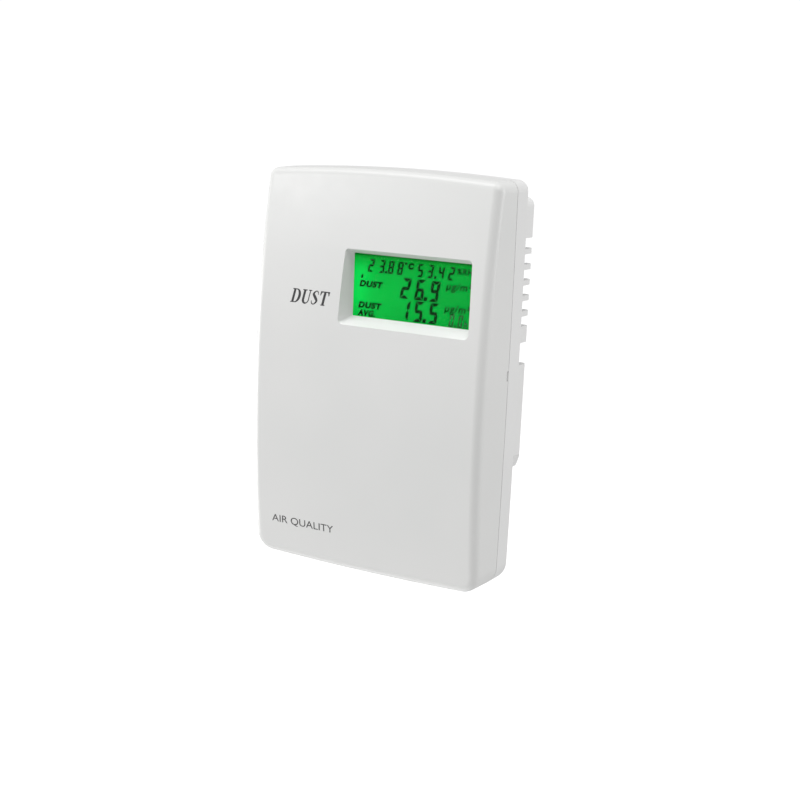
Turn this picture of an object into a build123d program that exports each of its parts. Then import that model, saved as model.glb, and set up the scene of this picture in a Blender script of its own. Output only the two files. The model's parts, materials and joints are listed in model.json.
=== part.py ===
"""Wall-mounted indoor air quality monitor, in millimetres.

The origin is the centre of the mounting face against the wall. +X is to the right as seen from
the room, +Z is up, and the room is towards -Y. A depth is a distance from the wall towards the
room, so a point at depth d has y = -d.
"""

import math
import os

from build123d import *

# How far a cut runs past the surface that it opens
CUT_MARGIN = 1.0

# Case
CASE_WIDTH = 85.0
CASE_HEIGHT = 130.0
CASE_DEPTH = 36.5
WALL = 2.0
SIDE_CROWN = 0.37
TOP_CROWN = 1.5
BOTTOM_CROWN = 0.87
TOP_CORNER_RADIUS = 3.4
BOTTOM_CORNER_RADIUS = 6.5
EDGE_RADIUS = 2.8
COVER_DRAFT = 1.9
BOW_RADIUS = 415.0
BOW_CENTRE_Z = -8.0
PARTING_DEPTH = 20.0
PARTING_GAP = 0.3
RIM_DEPTH = 12.1
RIM_EDGE_RADIUS = 0.8
LIP_HEIGHT = 1.8
LIP_THICKNESS = 0.8
LIP_CLEARANCE = 0.3
LIP_ROOT = 1.2
RIM_LAND = 1.1
PRY_SLOT_LENGTH = 3.2
PRY_SLOT_DEPTH = 1.0
PRY_SLOT_REACH = 0.9
PRY_SLOT_Z = 4.1

# Plateau: the narrower box behind the rim that stands against the wall
PLATEAU_HALF_WIDTH = 39.4
PLATEAU_TOP = 58.2
PLATEAU_BOTTOM = -29.0
PLATEAU_TAPER_WIDTH = 1.8
PLATEAU_TAPER_HEIGHT = 4.5
PLATEAU_CORNER_RADIUS = 3.0
PLATEAU_EDGE_RADIUS = 1.9
PLATEAU_FLOOR_DEPTH = 6.0

# Vents in the plateau's sides
VENT_REACH = 4.0
VENT_FRONT_DEPTH = 11.1
VENT_Z = (17.5, 45.5)
RIB_TOP_Z = 41.3
RIB_PITCH = 4.93
RIB_COUNT = 5
RIB_THICKNESS = 1.7
INLET_GAP = (5.2, 12.3)
BOTTOM_VENT_CENTRE = 25.0
BOTTOM_VENT_PITCH = 3.0
BOTTOM_VENT_COUNT = 8
BOTTOM_VENT_WIDTH = 1.6
BOTTOM_VENT_DEPTH = (14.7, 17.5)

# Wall plate and its hooks
PLATE_THICKNESS = 1.2
PLATE_HALF_WIDTH = 36.5
PLATE_TOP = 56.0
PLATE_BOTTOM = -50.0
PLATE_TAIL_HALF_WIDTH = 33.0
PLATE_CORNER = 3.0
PLATE_RECESS_DEPTH = 4.2
PLATE_CLEARANCE = 0.5
BOX_SLOT_SPACING = 60.0
BOX_SLOT_Z = -10.0
BOX_SLOT_RADIUS = 2.1
BOX_SLOT_LENGTH = 7.0
WALL_HOLE_X = 27.0
WALL_HOLE_TOP = 27.0
WALL_HOLE_BOTTOM = -44.0
WALL_HOLE_RADIUS = 2.25
CABLE_OPENING_X = 13.0
CABLE_OPENING_Z = (-47.0, -31.0)
HOOK_PLACES = [(26.0, 46.5), (-26.0, 46.5), (16.0, -18.5), (-16.0, -18.5)]
HOOK_WIDTH = 8.0
HOOK_LIP = 4.5
HOOK_REACH = 7.7
HOOK_WINDOW = 10.5
HOOK_RELIEF = 1.0
HOOK_CLEARANCE = 0.3
HOOK_SIDE_CLEARANCE = 0.4
FOLD_RADIUS = 1.1
LIFT_TRAVEL = 8.0

# Boards and the screws that hold them
BOARD_THICKNESS = 1.6
BOARD_BACK_DEPTH = 23.0
BOARD_FRONT_DEPTH = BOARD_BACK_DEPTH + BOARD_THICKNESS
BOARD_HALF_WIDTH = 38.0
BOARD_TOP = 59.0
BOARD_BOTTOM = -60.0
BOARD_CORNER = 1.5
LEG_CLEARANCE = 0.05
BOSS_X = 34.4
BOSS_TOP_Z = 53.6
BOSS_BOTTOM_Z = -55.5
BOSS_RADIUS = 3.2
SCREW_RADIUS = 1.25
PILOT_RADIUS = 1.3
PILOT_SPARE = 0.5
PAD_PILOT_SPARE = 0.1
SCREW_HEAD_RADIUS = 2.5
SCREW_HEAD_HEIGHT = 1.7
SCREW_HEAD_ROUND = 0.5
SCREW_LENGTH = 7.0
SCREW_HOLE_RADIUS = 1.5
CROSS_REACH = 1.3
CROSS_DEPTH = 0.9
SLOT_HALF_WIDTH = 0.25
SHANK_OVERLAP = 0.2
SMALL_SCREW_RADIUS = 1.0
SMALL_PILOT_RADIUS = 1.05
SMALL_HEAD_HEIGHT = 1.3
SMALL_SLOT_DEPTH = 0.6

# Components on the main board: a place is (x, z) and a size is (width, height, how tall it stands)
MICROCONTROLLER = ((-25.0, 30.0), (10.0, 10.0, 1.4))
MICROCONTROLLER_CHAMFER = 0.25
CHIP_STAND = 1.5
CHIPS = [
    ((-26.0, 4.0), (5.0, 6.0, CHIP_STAND)),
    ((8.0, -32.0), (4.0, 5.0, CHIP_STAND)),
    ((24.0, -38.0), (5.0, 4.0, CHIP_STAND)),
    ((8.0, -46.0), (4.0, 5.0, CHIP_STAND)),
]
CONVERTER = ((-12.0, -49.0), (8.0, 8.0, 1.6))
CONVERTER_CHAMFER = 0.3
CRYSTAL = ((-25.0, 16.0), (11.0, 4.6, 3.5))
CRYSTAL_ROUND = 0.5
CAPACITOR_PLACES = [(-28.0, -28.0), (-28.0, -40.0)]
CAPACITOR_RADIUS = 4.0
CAPACITOR_HEIGHT = 7.4
CAPACITOR_ROUND = 0.6
INDUCTOR = ((-12.0, -33.0), (10.0, 10.0, 4.5))
INDUCTOR_CORNER = 2.0
INDUCTOR_CHAMFER = 0.4
RESISTOR_SIZE = (0.8, 1.6, 0.5)
RESISTOR_BANK = ((-10.0, 0.0), (3.0, 4.0), (4, 4))
CERAMIC_SIZE = (1.3, 2.0, 0.9)
CERAMIC_BANK = ((18.0, -24.0), (3.2, 5.0), (5, 2))

# Header and socket that join the terminal board to the main board
LINK_Z = -47.0
LINK_COUNT = 6
LINK_PITCH = 2.54
LINK_PIN_RADIUS = 0.32
LINK_HALF_HEIGHT = 1.25
LINK_SPLIT_DEPTH = 19.25
LINK_GAP = 0.1
LINK_PIN_END = 22.4

# Display
WINDOW_CENTRE = (12.75, 28.65)
WINDOW_WIDTH = 41.5
WINDOW_HEIGHT = 19.9
WINDOW_FLARE = 1.95
WINDOW_FLOOR_DEPTH = 30.5
WINDOW_FRONT_DEPTH = 34.8
WINDOW_WALL = 1.6
WINDOW_CORNER = 0.3
WINDOW_CORNER_GROWTH = 0.6
GLASS_DEPTH = 30.2
POLARISER_THICKNESS = 0.2
FILM_MARGIN = 1.0
GLASS_THICKNESS = 0.7
GLASS_X = (-10.3, 36.3)
FRONT_GLASS_Z = (17.4, 41.4)
REAR_GLASS_Z = (14.6, 41.4)
GUIDE_THICKNESS = 2.8
FRAME_X = (-14.6, 38.2)
FRAME_Z = (12.8, 43.2)
FRAME_FRONT_DEPTH = 29.6
FRAME_LEG_RADIUS = 1.0
FRAME_LEG_STAND = 0.6
FRAME_LEG_X = (-12.0, 35.0)
FRAME_LEG_Z = (21.0, 38.0)
FRAME_CLEARANCE = 0.2
FRAME_CORNER = 1.0
LED_COUNT = 4
LED_PITCH = 6.0
LED_HALF_LENGTH = 1.4
LED_MARGIN = 0.6
LED_GAP = 0.2
LED_BOARD_OFFSET = (2.3, 1.5)
STRIP_MARGIN = 1.3
STRIP_HEIGHT = (0.2, 2.0)

# Particle sensor
SENSOR_X = (-2.5, 34.5)
SENSOR_Z = (-2.0, 46.0)
SENSOR_DEPTH = (8.2, 20.2)
SENSOR_WALL = 1.0
SENSOR_CORNER = 1.0
FAN_CENTRE = (22.4, 33.6)
FAN_RADIUS = 8.6
FAN_HUB_RADIUS = 4.4
FAN_MOTOR_RADIUS = 3.2
FAN_MOTOR_DEPTH = (11.0, 13.6)
FAN_SHAFT_RADIUS = 0.95
FAN_FLOOR_DEPTH = 10.2
FAN_FRAME_X = (12.2, 33.3)
FAN_FRAME_Z = (23.2, 44.6)
FAN_OUTLET_DEPTH = (11.0, 17.0)
FAN_FRAME_FRONT = 17.6
FAN_BORE_CLEARANCE = 0.8
FAN_BLADES = 13
BLADE_THICKNESS = 0.7
BLADE_ROOT = 0.2
BLADE_DEPTH = (11.6, 14.8)
ROTOR_DISC_DEPTH = (14.6, 15.4)
ROTOR_BACK_DEPTH = 11.4
ROTOR_BORE_CLEARANCE = 0.3
SHAFT_CLEARANCE = 0.05
SHAFT_END_DEPTH = 16.8
INLET_Z = (6.0, 13.0)
INLET_DEPTH = (9.4, 15.8)
FAN_OUTLET_Z = (27.0, 41.0)
LASER_DEPTH = 13.6
LASER_Z = 9.5
LASER_X = (11.4, 19.8)
LASER_RADIUS = 3.0
LASER_BORE_RADIUS = 1.0
LASER_BORE_LENGTH = 2.0
DUCT_X = (20.0, 33.3)
DUCT_Z = (1.0, 18.0)
DUCT_FRONT = 18.4
DUCT_WALL = 0.8
DUCT_BRANCH_X = (23.0, 30.0)
PHOTODIODE_X = (24.5, 28.5)
PHOTODIODE_Z = (7.5, 11.5)
PHOTODIODE_FRONT = 17.2
SENSOR_BOARD_X = 10.6
SENSOR_BOARD_DEPTH = (17.6, 18.6)
SENSOR_BOARD_MARGIN = 0.3
SEAL_DEPTH = (6.3, 19.0)
SEAL_Z = (3.5, 15.7)
SEAL_BORE_DEPTH = (7.4, 16.0)
STRAP_WIDTH = 9.0
STRAP_THICKNESS = 0.7
STRAP_BOSS_RADIUS = 3.0
STRAP_SCREW_LENGTH = 6.0
STRAP_X = 16.0
STRAP_SCREW_Z = (-6.4, 50.4)
STRAP_HOLE_CLEARANCE = 0.2
STRAP_HEAD_RADIUS = 2.2
STRAP_SLOT_REACH = 1.6

# Sockets, plugs and wires inside, as ranges of x, depth and z
SENSOR_SOCKET = ((-2.2, 3.6), (14.0, 17.6), (28.0, 38.0))
SENSOR_SOCKET_MOUTH = ((-3.2, 1.6), (14.6, 17.0), (28.6, 37.4))
SENSOR_SOCKET_WINDOW = ((13.4, 18.4), (27.4, 38.6))
WIDE_SOCKET = ((-22.2, -17.2), (19.0, BOARD_BACK_DEPTH), (28.0, 38.0))
WIDE_SOCKET_MOUTH = ((-21.5, -17.9), (18.0, 22.0), (28.6, 37.4))
NARROW_SOCKET = ((-29.5, -22.5), (19.4, BOARD_BACK_DEPTH), (-37.0, -31.0))
NARROW_SOCKET_MOUTH = ((-28.9, -23.1), (20.1, 22.3), (-38.0, -33.0))
SENSOR_PLUG = ((-6.5, 1.4), (14.7, 16.9), (28.8, 37.2))
WIDE_PLUG = ((-21.3, -18.1), (15.5, 21.8), (28.8, 37.2))
NARROW_PLUG = ((-28.7, -23.3), (20.3, 22.1), (-41.0, -33.2))
WIRE_RADIUS = 0.42
BEND_SHARE = 0.45
SENSOR_WIRES = (8, 1.1, 33.0)
SENSOR_ROUTE = [(-6.6, -15.8), (-11.5, -15.2), (-14.2, -9.2), (-19.4, -9.5), (-19.7, -15.4)]
CLIMATE_WIRES = (4, 1.25, -26.0)
CLIMATE_ROUTE = [(-21.2, -41.05), (-21.0, -46.0), (-17.4, -48.3)]

# Wiring terminals in the lower recess
TERMINAL_PITCH = 3.81
TERMINAL_COUNT = 6
TERMINAL_BOARD_X = 19.0
TERMINAL_BOARD_Z = (-54.0, -31.0)
TERMINAL_BOARD_DEPTH = (15.1, 16.7)
TERMINAL_PAD_X = 16.0
TERMINAL_PAD_Z = (-50.5, -34.0)
TERMINAL_PAD_RADIUS = 2.4
PAD_SCREW_REACH = 2.1
BOARD_HOLE_CLEARANCE = 0.1
PAD_HEAD_RADIUS = 1.9
PAD_SLOT_REACH = 1.4
TERMINAL_WINDOW_X = 12.4
TERMINAL_WINDOW_Z = (-60.0, -29.9)
HEADER_X = 11.9
HEADER_Z = (-38.7, -30.3)
HEADER_DEPTH = (6.9, 15.1)
HEADER_WALL = 0.9
HEADER_MOUTH_TOP = -32.0
PIN_HALF = 0.4
PIN_ROW_Z = (-31.6, -30.8)
PIN_DEPTH = (10.6, 11.4)
PIN_TIP_Z = -37.7
PIN_STAND = 1.0
PLUG_NOSE = ((-10.6, 10.6), (8.2, 13.8), (-39.2, -32.6))
PLUG_BODY = ((-11.4, 11.4), (7.1, 14.5), (-50.5, -39.1))
PIN_SOCKET = (0.7, (10.3, 11.7), (-42.0, -32.0))
WIRE_ENTRY = (1.35, (9.0, 13.0), (-51.0, -42.0))
CLAMP = (1.3, (9.05, 12.95), (-50.0, -43.0))
CLAMP_HOLE = (0.9, (9.7, 12.3), (-51.0, -42.0))
CLAMP_SCREW_Z = -46.5
CLAMP_WELL_RADIUS = 1.4
CLAMP_HEAD_RADIUS = 1.3
CLAMP_HEAD_DEPTH = (7.4, 8.8)
CLAMP_SHANK_RADIUS = 0.8
CLAMP_SHANK_DEPTH = (8.7, 10.4)
CLAMP_SLOT_DEPTH = (7.3, 7.9)

# Temperature and humidity board
CLIMATE_X = (-30.6, -21.2)
CLIMATE_Z = (-61.5, -44.0)
CLIMATE_DEPTH = (16.0, 17.0)
CLIMATE_POSTS = [(-29.2, -46.0), (-22.6, -60.0)]
CLIMATE_POST_RADIUS = 1.3
CLIMATE_PIN_RADIUS = 0.6
CLIMATE_PIN_STAND = 0.6
CLIMATE_CHIP_PLACE = (-26.0, -59.0)
CLIMATE_CHIP_WIDTH = 3.0
CLIMATE_CHIP_STAND = 1.0
CLIMATE_PORT_RADIUS = 0.7
CLIMATE_PORT_DEPTH = 0.5

# Push buttons on the main board
BUTTON_PLACES = {"menu_button": (18.0, -8.0), "zero_button": (30.0, -8.0)}
BUTTON_RADIUS = 1.75
BUTTON_BASE = 6.0
BUTTON_BASE_HEIGHT = 3.4
BUTTON_HEIGHT = 5.0
BUTTON_CLEARANCE = 0.05
BUTTON_ROUND = 0.3
BUTTON_SEAT = 1.2
BUTTON_WELL = 1.8


def at_depth(depth):
    """Plane parallel to the wall whose extrusions go towards the room."""
    return Plane.XZ.offset(depth)


def block(x, depth, z, mode=Mode.ADD):
    """Box in the active part, from its ranges of x, depth and z."""
    with Locations(((x[0] + x[1]) / 2, -(depth[0] + depth[1]) / 2, (z[0] + z[1]) / 2)):
        Box(x[1] - x[0], depth[1] - depth[0], z[1] - z[0], mode=mode)


def rod(places, radius, depth, mode=Mode.ADD):
    """Round rods square to the wall in the active part, at each (x, z) of places."""
    with BuildSketch(at_depth(depth[0])) as section:
        with Locations(*places):
            Circle(radius)
    extrude(section.sketch, amount=depth[1] - depth[0], mode=mode)


def row_of(count, pitch, centre=0.0):
    """Evenly spaced positions about a centre."""
    return [centre + pitch * (index - (count - 1) / 2) for index in range(count)]


def component(place, size):
    """Box standing on the front of the main board, in the active part."""
    x, z = place
    width, height, stand = size
    depth = (BOARD_FRONT_DEPTH, BOARD_FRONT_DEPTH + stand)
    block((x - width / 2, x + width / 2), depth, (z - height / 2, z + height / 2))


def component_bank(bank, size):
    """Grid of equal components about a centre, in the active part."""
    centre, pitch, count = bank
    for x in row_of(count[0], pitch[0], centre[0]):
        for z in row_of(count[1], pitch[1], centre[1]):
            component((x, z), size)


def drive_slots(places, reach, depth):
    """Slots cut along X into the screw heads at each (x, z) of places."""
    for x, z in places:
        span = (z - SLOT_HALF_WIDTH, z + SLOT_HALF_WIDTH)
        block((x - reach, x + reach), depth, span, mode=Mode.SUBTRACT)


def per_terminal(cell, mode=Mode.ADD):
    """One box for each terminal, from its half width and its ranges of depth and z."""
    half, depth, z = cell
    for x in row_of(TERMINAL_COUNT, TERMINAL_PITCH):
        block((x - half, x + half), depth, z, mode=mode)


def case_outline(depth, inset=0.0):
    """Front view of the case, a rectangle with four slightly crowned sides, inset inwards."""
    side = CASE_WIDTH / 2 - inset
    top = CASE_HEIGHT / 2 - inset
    upper = (side - SIDE_CROWN, top - TOP_CROWN)
    lower = (side - SIDE_CROWN, -top + BOTTOM_CROWN)
    with BuildSketch(at_depth(depth)) as outline:
        with BuildLine():
            ThreePointArc(lower, (side, 0), upper)
            ThreePointArc(upper, (0, top), (-upper[0], upper[1]))
            ThreePointArc((-upper[0], upper[1]), (-side, 0), (-lower[0], lower[1]))
            ThreePointArc((-lower[0], lower[1]), (0, -top), lower)
        make_face()
        fillet(outline.vertices().group_by(Axis.Y)[-1], TOP_CORNER_RADIUS - inset)
        fillet(outline.vertices().group_by(Axis.Y)[0], BOTTOM_CORNER_RADIUS - inset)
    return outline.sketch


def bowed_shell(inset):
    """Solid inside the cover's outer surface, inset from it, with the bowed front."""
    start = PARTING_DEPTH + PARTING_GAP / 2
    with BuildPart() as shell:
        extrude(case_outline(start, inset), amount=CASE_DEPTH + CUT_MARGIN - start, taper=COVER_DRAFT)
        with BuildSketch(Plane.YZ):
            with Locations((BOW_RADIUS - CASE_DEPTH, BOW_CENTRE_Z)):
                Circle(BOW_RADIUS - inset)
        extrude(amount=CASE_WIDTH, both=True, mode=Mode.INTERSECT)
        front = shell.faces().sort_by(Axis.Y)[0]
        fillet(front.edges(), EDGE_RADIUS - inset)
    return shell.part


def window_cut(depth, grow):
    """Outline of the display window, grown on every side, on the plane at a depth."""
    corner = WINDOW_CORNER + WINDOW_CORNER_GROWTH * grow
    with BuildSketch(at_depth(depth)) as outline:
        with Locations(WINDOW_CENTRE):
            RectangleRounded(WINDOW_WIDTH + 2 * grow, WINDOW_HEIGHT + 2 * grow, corner)
    return outline.sketch


def window_funnel():
    """Wall around the display window, from its floor to inside the front wall."""
    with BuildPart() as funnel:
        outline = window_cut(WINDOW_FLOOR_DEPTH, WINDOW_WALL)
        extrude(outline, amount=CASE_DEPTH - WINDOW_FLOOR_DEPTH)
        add(bowed_shell(WALL / 2), mode=Mode.INTERSECT)
    return funnel.part


def window_flare():
    """Tapered opening of the display window, wider towards the room."""
    end = CASE_DEPTH + CUT_MARGIN
    grow = WINDOW_FLARE * (end - WINDOW_FLOOR_DEPTH) / (WINDOW_FRONT_DEPTH - WINDOW_FLOOR_DEPTH)
    with BuildPart() as flare:
        loft([*window_cut(WINDOW_FLOOR_DEPTH, 0.0).faces(), *window_cut(end, grow).faces()])
    return flare.part


def vent_gaps():
    """Ranges of z of the open gaps between the comb's ribs, then of the wide inlet gap."""
    half = RIB_THICKNESS / 2
    ribs = [RIB_TOP_Z - RIB_PITCH * index for index in range(RIB_COUNT)]
    tops = [VENT_Z[1], *[centre - half for centre in ribs]]
    bottoms = [*[centre + half for centre in ribs], VENT_Z[0]]
    return [*zip(bottoms, tops), INLET_GAP]


def wires(plane, points, offsets, radius):
    """Parallel wires in the active part along one route in a plane, rounded at its corners."""
    route = [Vector(*point) for point in points]
    radii = []
    for before, corner, after in zip(route, route[1:], route[2:]):
        run = min((corner - before).length, (after - corner).length)
        turn = (corner - before).get_angle(after - corner)
        radii.append(BEND_SHARE * run / math.tan(math.radians(turn / 2)))
    print("wire bend radii", [round(value, 2) for value in radii])
    for offset_along_normal in offsets:
        with BuildLine(plane.offset(offset_along_normal)) as path:
            FilletPolyline(*points, radius=radii)
        with BuildSketch(Plane(path.line @ 0, z_dir=path.line % 0)) as section:
            Circle(radius)
        sweep(section.sketch, path=path.line)


# ---------------------------------------------------------------- front cover

with BuildPart() as front_cover:
    add(bowed_shell(0.0))
    add(bowed_shell(WALL), mode=Mode.SUBTRACT)
    add(window_funnel())
    add(window_flare(), mode=Mode.SUBTRACT)
    # Lip that enters the rear cover's rebate
    lip_start = PARTING_DEPTH - LIP_HEIGHT
    lip_length = LIP_HEIGHT + PARTING_GAP / 2 + LIP_ROOT
    lip_inset = RIM_LAND + LIP_CLEARANCE
    lip = case_outline(lip_start, lip_inset) - case_outline(lip_start, lip_inset + LIP_THICKNESS)
    extrude(lip, amount=lip_length)
    # Pry slot at the parting line
    block(
        (CASE_WIDTH / 2 - PRY_SLOT_REACH, CASE_WIDTH / 2 + CUT_MARGIN),
        (PARTING_DEPTH, PARTING_DEPTH + PRY_SLOT_DEPTH),
        (PRY_SLOT_Z - PRY_SLOT_LENGTH / 2, PRY_SLOT_Z + PRY_SLOT_LENGTH / 2),
        mode=Mode.SUBTRACT,
    )

# ----------------------------------------------------------------- rear cover

BOSS_PLACES = [(side * BOSS_X, z) for side in (1, -1) for z in (BOSS_TOP_Z, BOSS_BOTTOM_Z)]
UPPER_BOSSES = [place for place in BOSS_PLACES if place[1] > 0]
LOWER_BOSSES = [place for place in BOSS_PLACES if place[1] < 0]
STRAP_BOSSES = [(STRAP_X, z) for z in STRAP_SCREW_Z]
TERMINAL_PADS = [(side * TERMINAL_PAD_X, z) for side in (1, -1) for z in TERMINAL_PAD_Z]
RIM_FLOOR_DEPTH = RIM_DEPTH + WALL

with BuildPart() as rear_cover:
    rim_front = PARTING_DEPTH - PARTING_GAP / 2
    extrude(case_outline(RIM_DEPTH), amount=rim_front - RIM_DEPTH)
    fillet(rear_cover.faces().sort_by(Axis.Y)[-1].edges(), RIM_EDGE_RADIUS)
    foot = PLATEAU_HALF_WIDTH - PLATEAU_TAPER_WIDTH
    taper_z = PLATEAU_BOTTOM + PLATEAU_TAPER_HEIGHT
    right_side = [(foot, PLATEAU_BOTTOM), (PLATEAU_HALF_WIDTH, taper_z), (PLATEAU_HALF_WIDTH, PLATEAU_TOP)]
    left_side = [(-x, z) for x, z in reversed(right_side)]
    with BuildSketch(at_depth(0.0)) as plateau:
        with BuildLine():
            Polyline(*right_side, *left_side, close=True)
        make_face()
        fillet(plateau.vertices().group_by(Axis.Y)[-1], PLATEAU_CORNER_RADIUS)
    extrude(amount=RIM_DEPTH)
    back_edges = rear_cover.faces().sort_by(Axis.Y)[-1].edges()
    fillet(back_edges.filter_by(Axis.Z), PLATEAU_EDGE_RADIUS)
    # Hollow rim, hollow plateau, and the recess in which the wall plate lies
    extrude(case_outline(RIM_FLOOR_DEPTH, WALL), amount=rim_front - RIM_FLOOR_DEPTH, mode=Mode.SUBTRACT)
    rebate = PARTING_DEPTH - LIP_HEIGHT - LIP_CLEARANCE
    extrude(case_outline(rebate, RIM_LAND), amount=rim_front - rebate, mode=Mode.SUBTRACT)
    inner_x = PLATEAU_HALF_WIDTH - WALL
    block(
        (-inner_x, inner_x),
        (PLATEAU_FLOOR_DEPTH, RIM_FLOOR_DEPTH),
        (PLATEAU_BOTTOM + WALL, PLATEAU_TOP - WALL),
        mode=Mode.SUBTRACT,
    )
    recess_x = PLATE_HALF_WIDTH + PLATE_CLEARANCE
    block(
        (-recess_x, recess_x),
        (-CUT_MARGIN, PLATE_RECESS_DEPTH),
        (PLATEAU_BOTTOM - CUT_MARGIN, PLATE_TOP + PLATE_CLEARANCE),
        mode=Mode.SUBTRACT,
    )
    # Comb vents in both sides, open through the back corner
    for bottom, top in vent_gaps():
        for side in (1, -1):
            ends = (PLATEAU_HALF_WIDTH - VENT_REACH, PLATEAU_HALF_WIDTH + CUT_MARGIN)
            reach = sorted(side * end for end in ends)
            block(reach, (-CUT_MARGIN, VENT_FRONT_DEPTH), (bottom, top), mode=Mode.SUBTRACT)
    # Slots in the bottom edge for the humidity board
    slot_half = BOTTOM_VENT_WIDTH / 2
    slot_z = (-CASE_HEIGHT / 2 - CUT_MARGIN, -CASE_HEIGHT / 2 + WALL + CUT_MARGIN)
    for side in (1, -1):
        for x in row_of(BOTTOM_VENT_COUNT, BOTTOM_VENT_PITCH, side * BOTTOM_VENT_CENTRE):
            block((x - slot_half, x + slot_half), BOTTOM_VENT_DEPTH, slot_z, mode=Mode.SUBTRACT)
    # Slots through which the plate's hooks hold the cover
    hook_half = HOOK_WIDTH / 2 + HOOK_SIDE_CLEARANCE
    hook_drop = LIFT_TRAVEL + HOOK_SIDE_CLEARANCE
    for x, z in HOOK_PLACES:
        block(
            (x - hook_half, x + hook_half),
            (PLATE_RECESS_DEPTH - CUT_MARGIN, PLATEAU_FLOOR_DEPTH + CUT_MARGIN),
            (z - hook_drop, z + PLATE_THICKNESS + HOOK_CLEARANCE),
            mode=Mode.SUBTRACT,
        )
    # Window for the wiring terminals
    block(
        (-TERMINAL_WINDOW_X, TERMINAL_WINDOW_X),
        (RIM_DEPTH - CUT_MARGIN, RIM_FLOOR_DEPTH + CUT_MARGIN),
        TERMINAL_WINDOW_Z,
        mode=Mode.SUBTRACT,
    )
    # Bosses, pads and posts for the boards and the sensor's strap
    plateau_root = PLATEAU_FLOOR_DEPTH - WALL / 2
    rim_root = RIM_FLOOR_DEPTH - WALL / 2
    rod(UPPER_BOSSES, BOSS_RADIUS, (plateau_root, BOARD_BACK_DEPTH))
    rod(LOWER_BOSSES, BOSS_RADIUS, (rim_root, BOARD_BACK_DEPTH))
    rod(STRAP_BOSSES, STRAP_BOSS_RADIUS, (plateau_root, SENSOR_DEPTH[1]))
    rod(TERMINAL_PADS, TERMINAL_PAD_RADIUS, (rim_root, TERMINAL_BOARD_DEPTH[0]))
    rod(CLIMATE_POSTS, CLIMATE_POST_RADIUS, (rim_root, CLIMATE_DEPTH[0]))
    rod(CLIMATE_POSTS, CLIMATE_PIN_RADIUS, (rim_root, CLIMATE_DEPTH[1] + CLIMATE_PIN_STAND))
    # Their pilot holes, a little longer than the screws
    boss_pilot = (BOARD_BACK_DEPTH - SCREW_LENGTH - PILOT_SPARE, BOARD_BACK_DEPTH)
    strap_pilot = (SENSOR_DEPTH[1] - STRAP_SCREW_LENGTH - PILOT_SPARE, SENSOR_DEPTH[1])
    pad_pilot = (TERMINAL_BOARD_DEPTH[0] - PAD_SCREW_REACH - PAD_PILOT_SPARE, TERMINAL_BOARD_DEPTH[0])
    rod(BOSS_PLACES, PILOT_RADIUS, boss_pilot, Mode.SUBTRACT)
    rod(STRAP_BOSSES, SMALL_PILOT_RADIUS, strap_pilot, Mode.SUBTRACT)
    rod(TERMINAL_PADS, SMALL_PILOT_RADIUS, pad_pilot, Mode.SUBTRACT)

# ----------------------------------------------------------------- wall plate

with BuildPart() as wall_plate:
    with BuildSketch(at_depth(0.0)):
        with Locations((0, (PLATE_TOP + PLATEAU_BOTTOM) / 2)):
            RectangleRounded(2 * PLATE_HALF_WIDTH, PLATE_TOP - PLATEAU_BOTTOM, PLATE_CORNER)
        with Locations((0, (PLATE_BOTTOM + PLATEAU_BOTTOM) / 2 + PLATE_CORNER)):
            RectangleRounded(
                2 * PLATE_TAIL_HALF_WIDTH, PLATEAU_BOTTOM - PLATE_BOTTOM + 2 * PLATE_CORNER, PLATE_CORNER
            )
        with Locations((0, sum(CABLE_OPENING_Z) / 2)):
            opening_height = CABLE_OPENING_Z[1] - CABLE_OPENING_Z[0]
            RectangleRounded(2 * CABLE_OPENING_X, opening_height, PLATE_CORNER, mode=Mode.SUBTRACT)
        with Locations((BOX_SLOT_SPACING / 2, BOX_SLOT_Z), (-BOX_SLOT_SPACING / 2, BOX_SLOT_Z)):
            SlotOverall(BOX_SLOT_LENGTH, 2 * BOX_SLOT_RADIUS, mode=Mode.SUBTRACT)
        with Locations((0, (WALL_HOLE_TOP + WALL_HOLE_BOTTOM) / 2)):
            with GridLocations(2 * WALL_HOLE_X, WALL_HOLE_TOP - WALL_HOLE_BOTTOM, 2, 2):
                Circle(WALL_HOLE_RADIUS, mode=Mode.SUBTRACT)
        # Windows left where the hooks are folded out of the sheet
        with Locations(*[(x, z - HOOK_WINDOW / 2) for x, z in HOOK_PLACES]):
            Rectangle(HOOK_WIDTH + HOOK_RELIEF, HOOK_WINDOW, mode=Mode.SUBTRACT)
    extrude(amount=PLATE_THICKNESS)
    for x, z in HOOK_PLACES:
        span = (x - HOOK_WIDTH / 2, x + HOOK_WIDTH / 2)
        block(span, (0.0, HOOK_REACH), (z, z + PLATE_THICKNESS))
        block(span, (HOOK_REACH - PLATE_THICKNESS, HOOK_REACH), (z, z + PLATE_THICKNESS + HOOK_LIP))
    hook_z = {z for _, z in HOOK_PLACES}
    front_edges = wall_plate.edges().filter_by(Axis.X).group_by(Axis.Y)[0]
    fillet([edge for edge in front_edges if round(edge.center().Z, 3) in hook_z], FOLD_RADIUS)

# ----------------------------------------------------------------- main board

BUTTON_CENTRES = list(BUTTON_PLACES.values())
FRAME_LEGS = [(x, z) for x in FRAME_LEG_X for z in FRAME_LEG_Z]
LINK_PINS = [(x, LINK_Z) for x in row_of(LINK_COUNT, LINK_PITCH)]

with BuildPart() as main_board:
    with BuildSketch(at_depth(BOARD_BACK_DEPTH)):
        with Locations((0, (BOARD_TOP + BOARD_BOTTOM) / 2)):
            RectangleRounded(2 * BOARD_HALF_WIDTH, BOARD_TOP - BOARD_BOTTOM, BOARD_CORNER)
        with Locations(*BOSS_PLACES):
            Circle(SCREW_HOLE_RADIUS, mode=Mode.SUBTRACT)
        with Locations(*FRAME_LEGS):
            Circle(FRAME_LEG_RADIUS + LEG_CLEARANCE, mode=Mode.SUBTRACT)
    extrude(amount=BOARD_THICKNESS)

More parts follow.
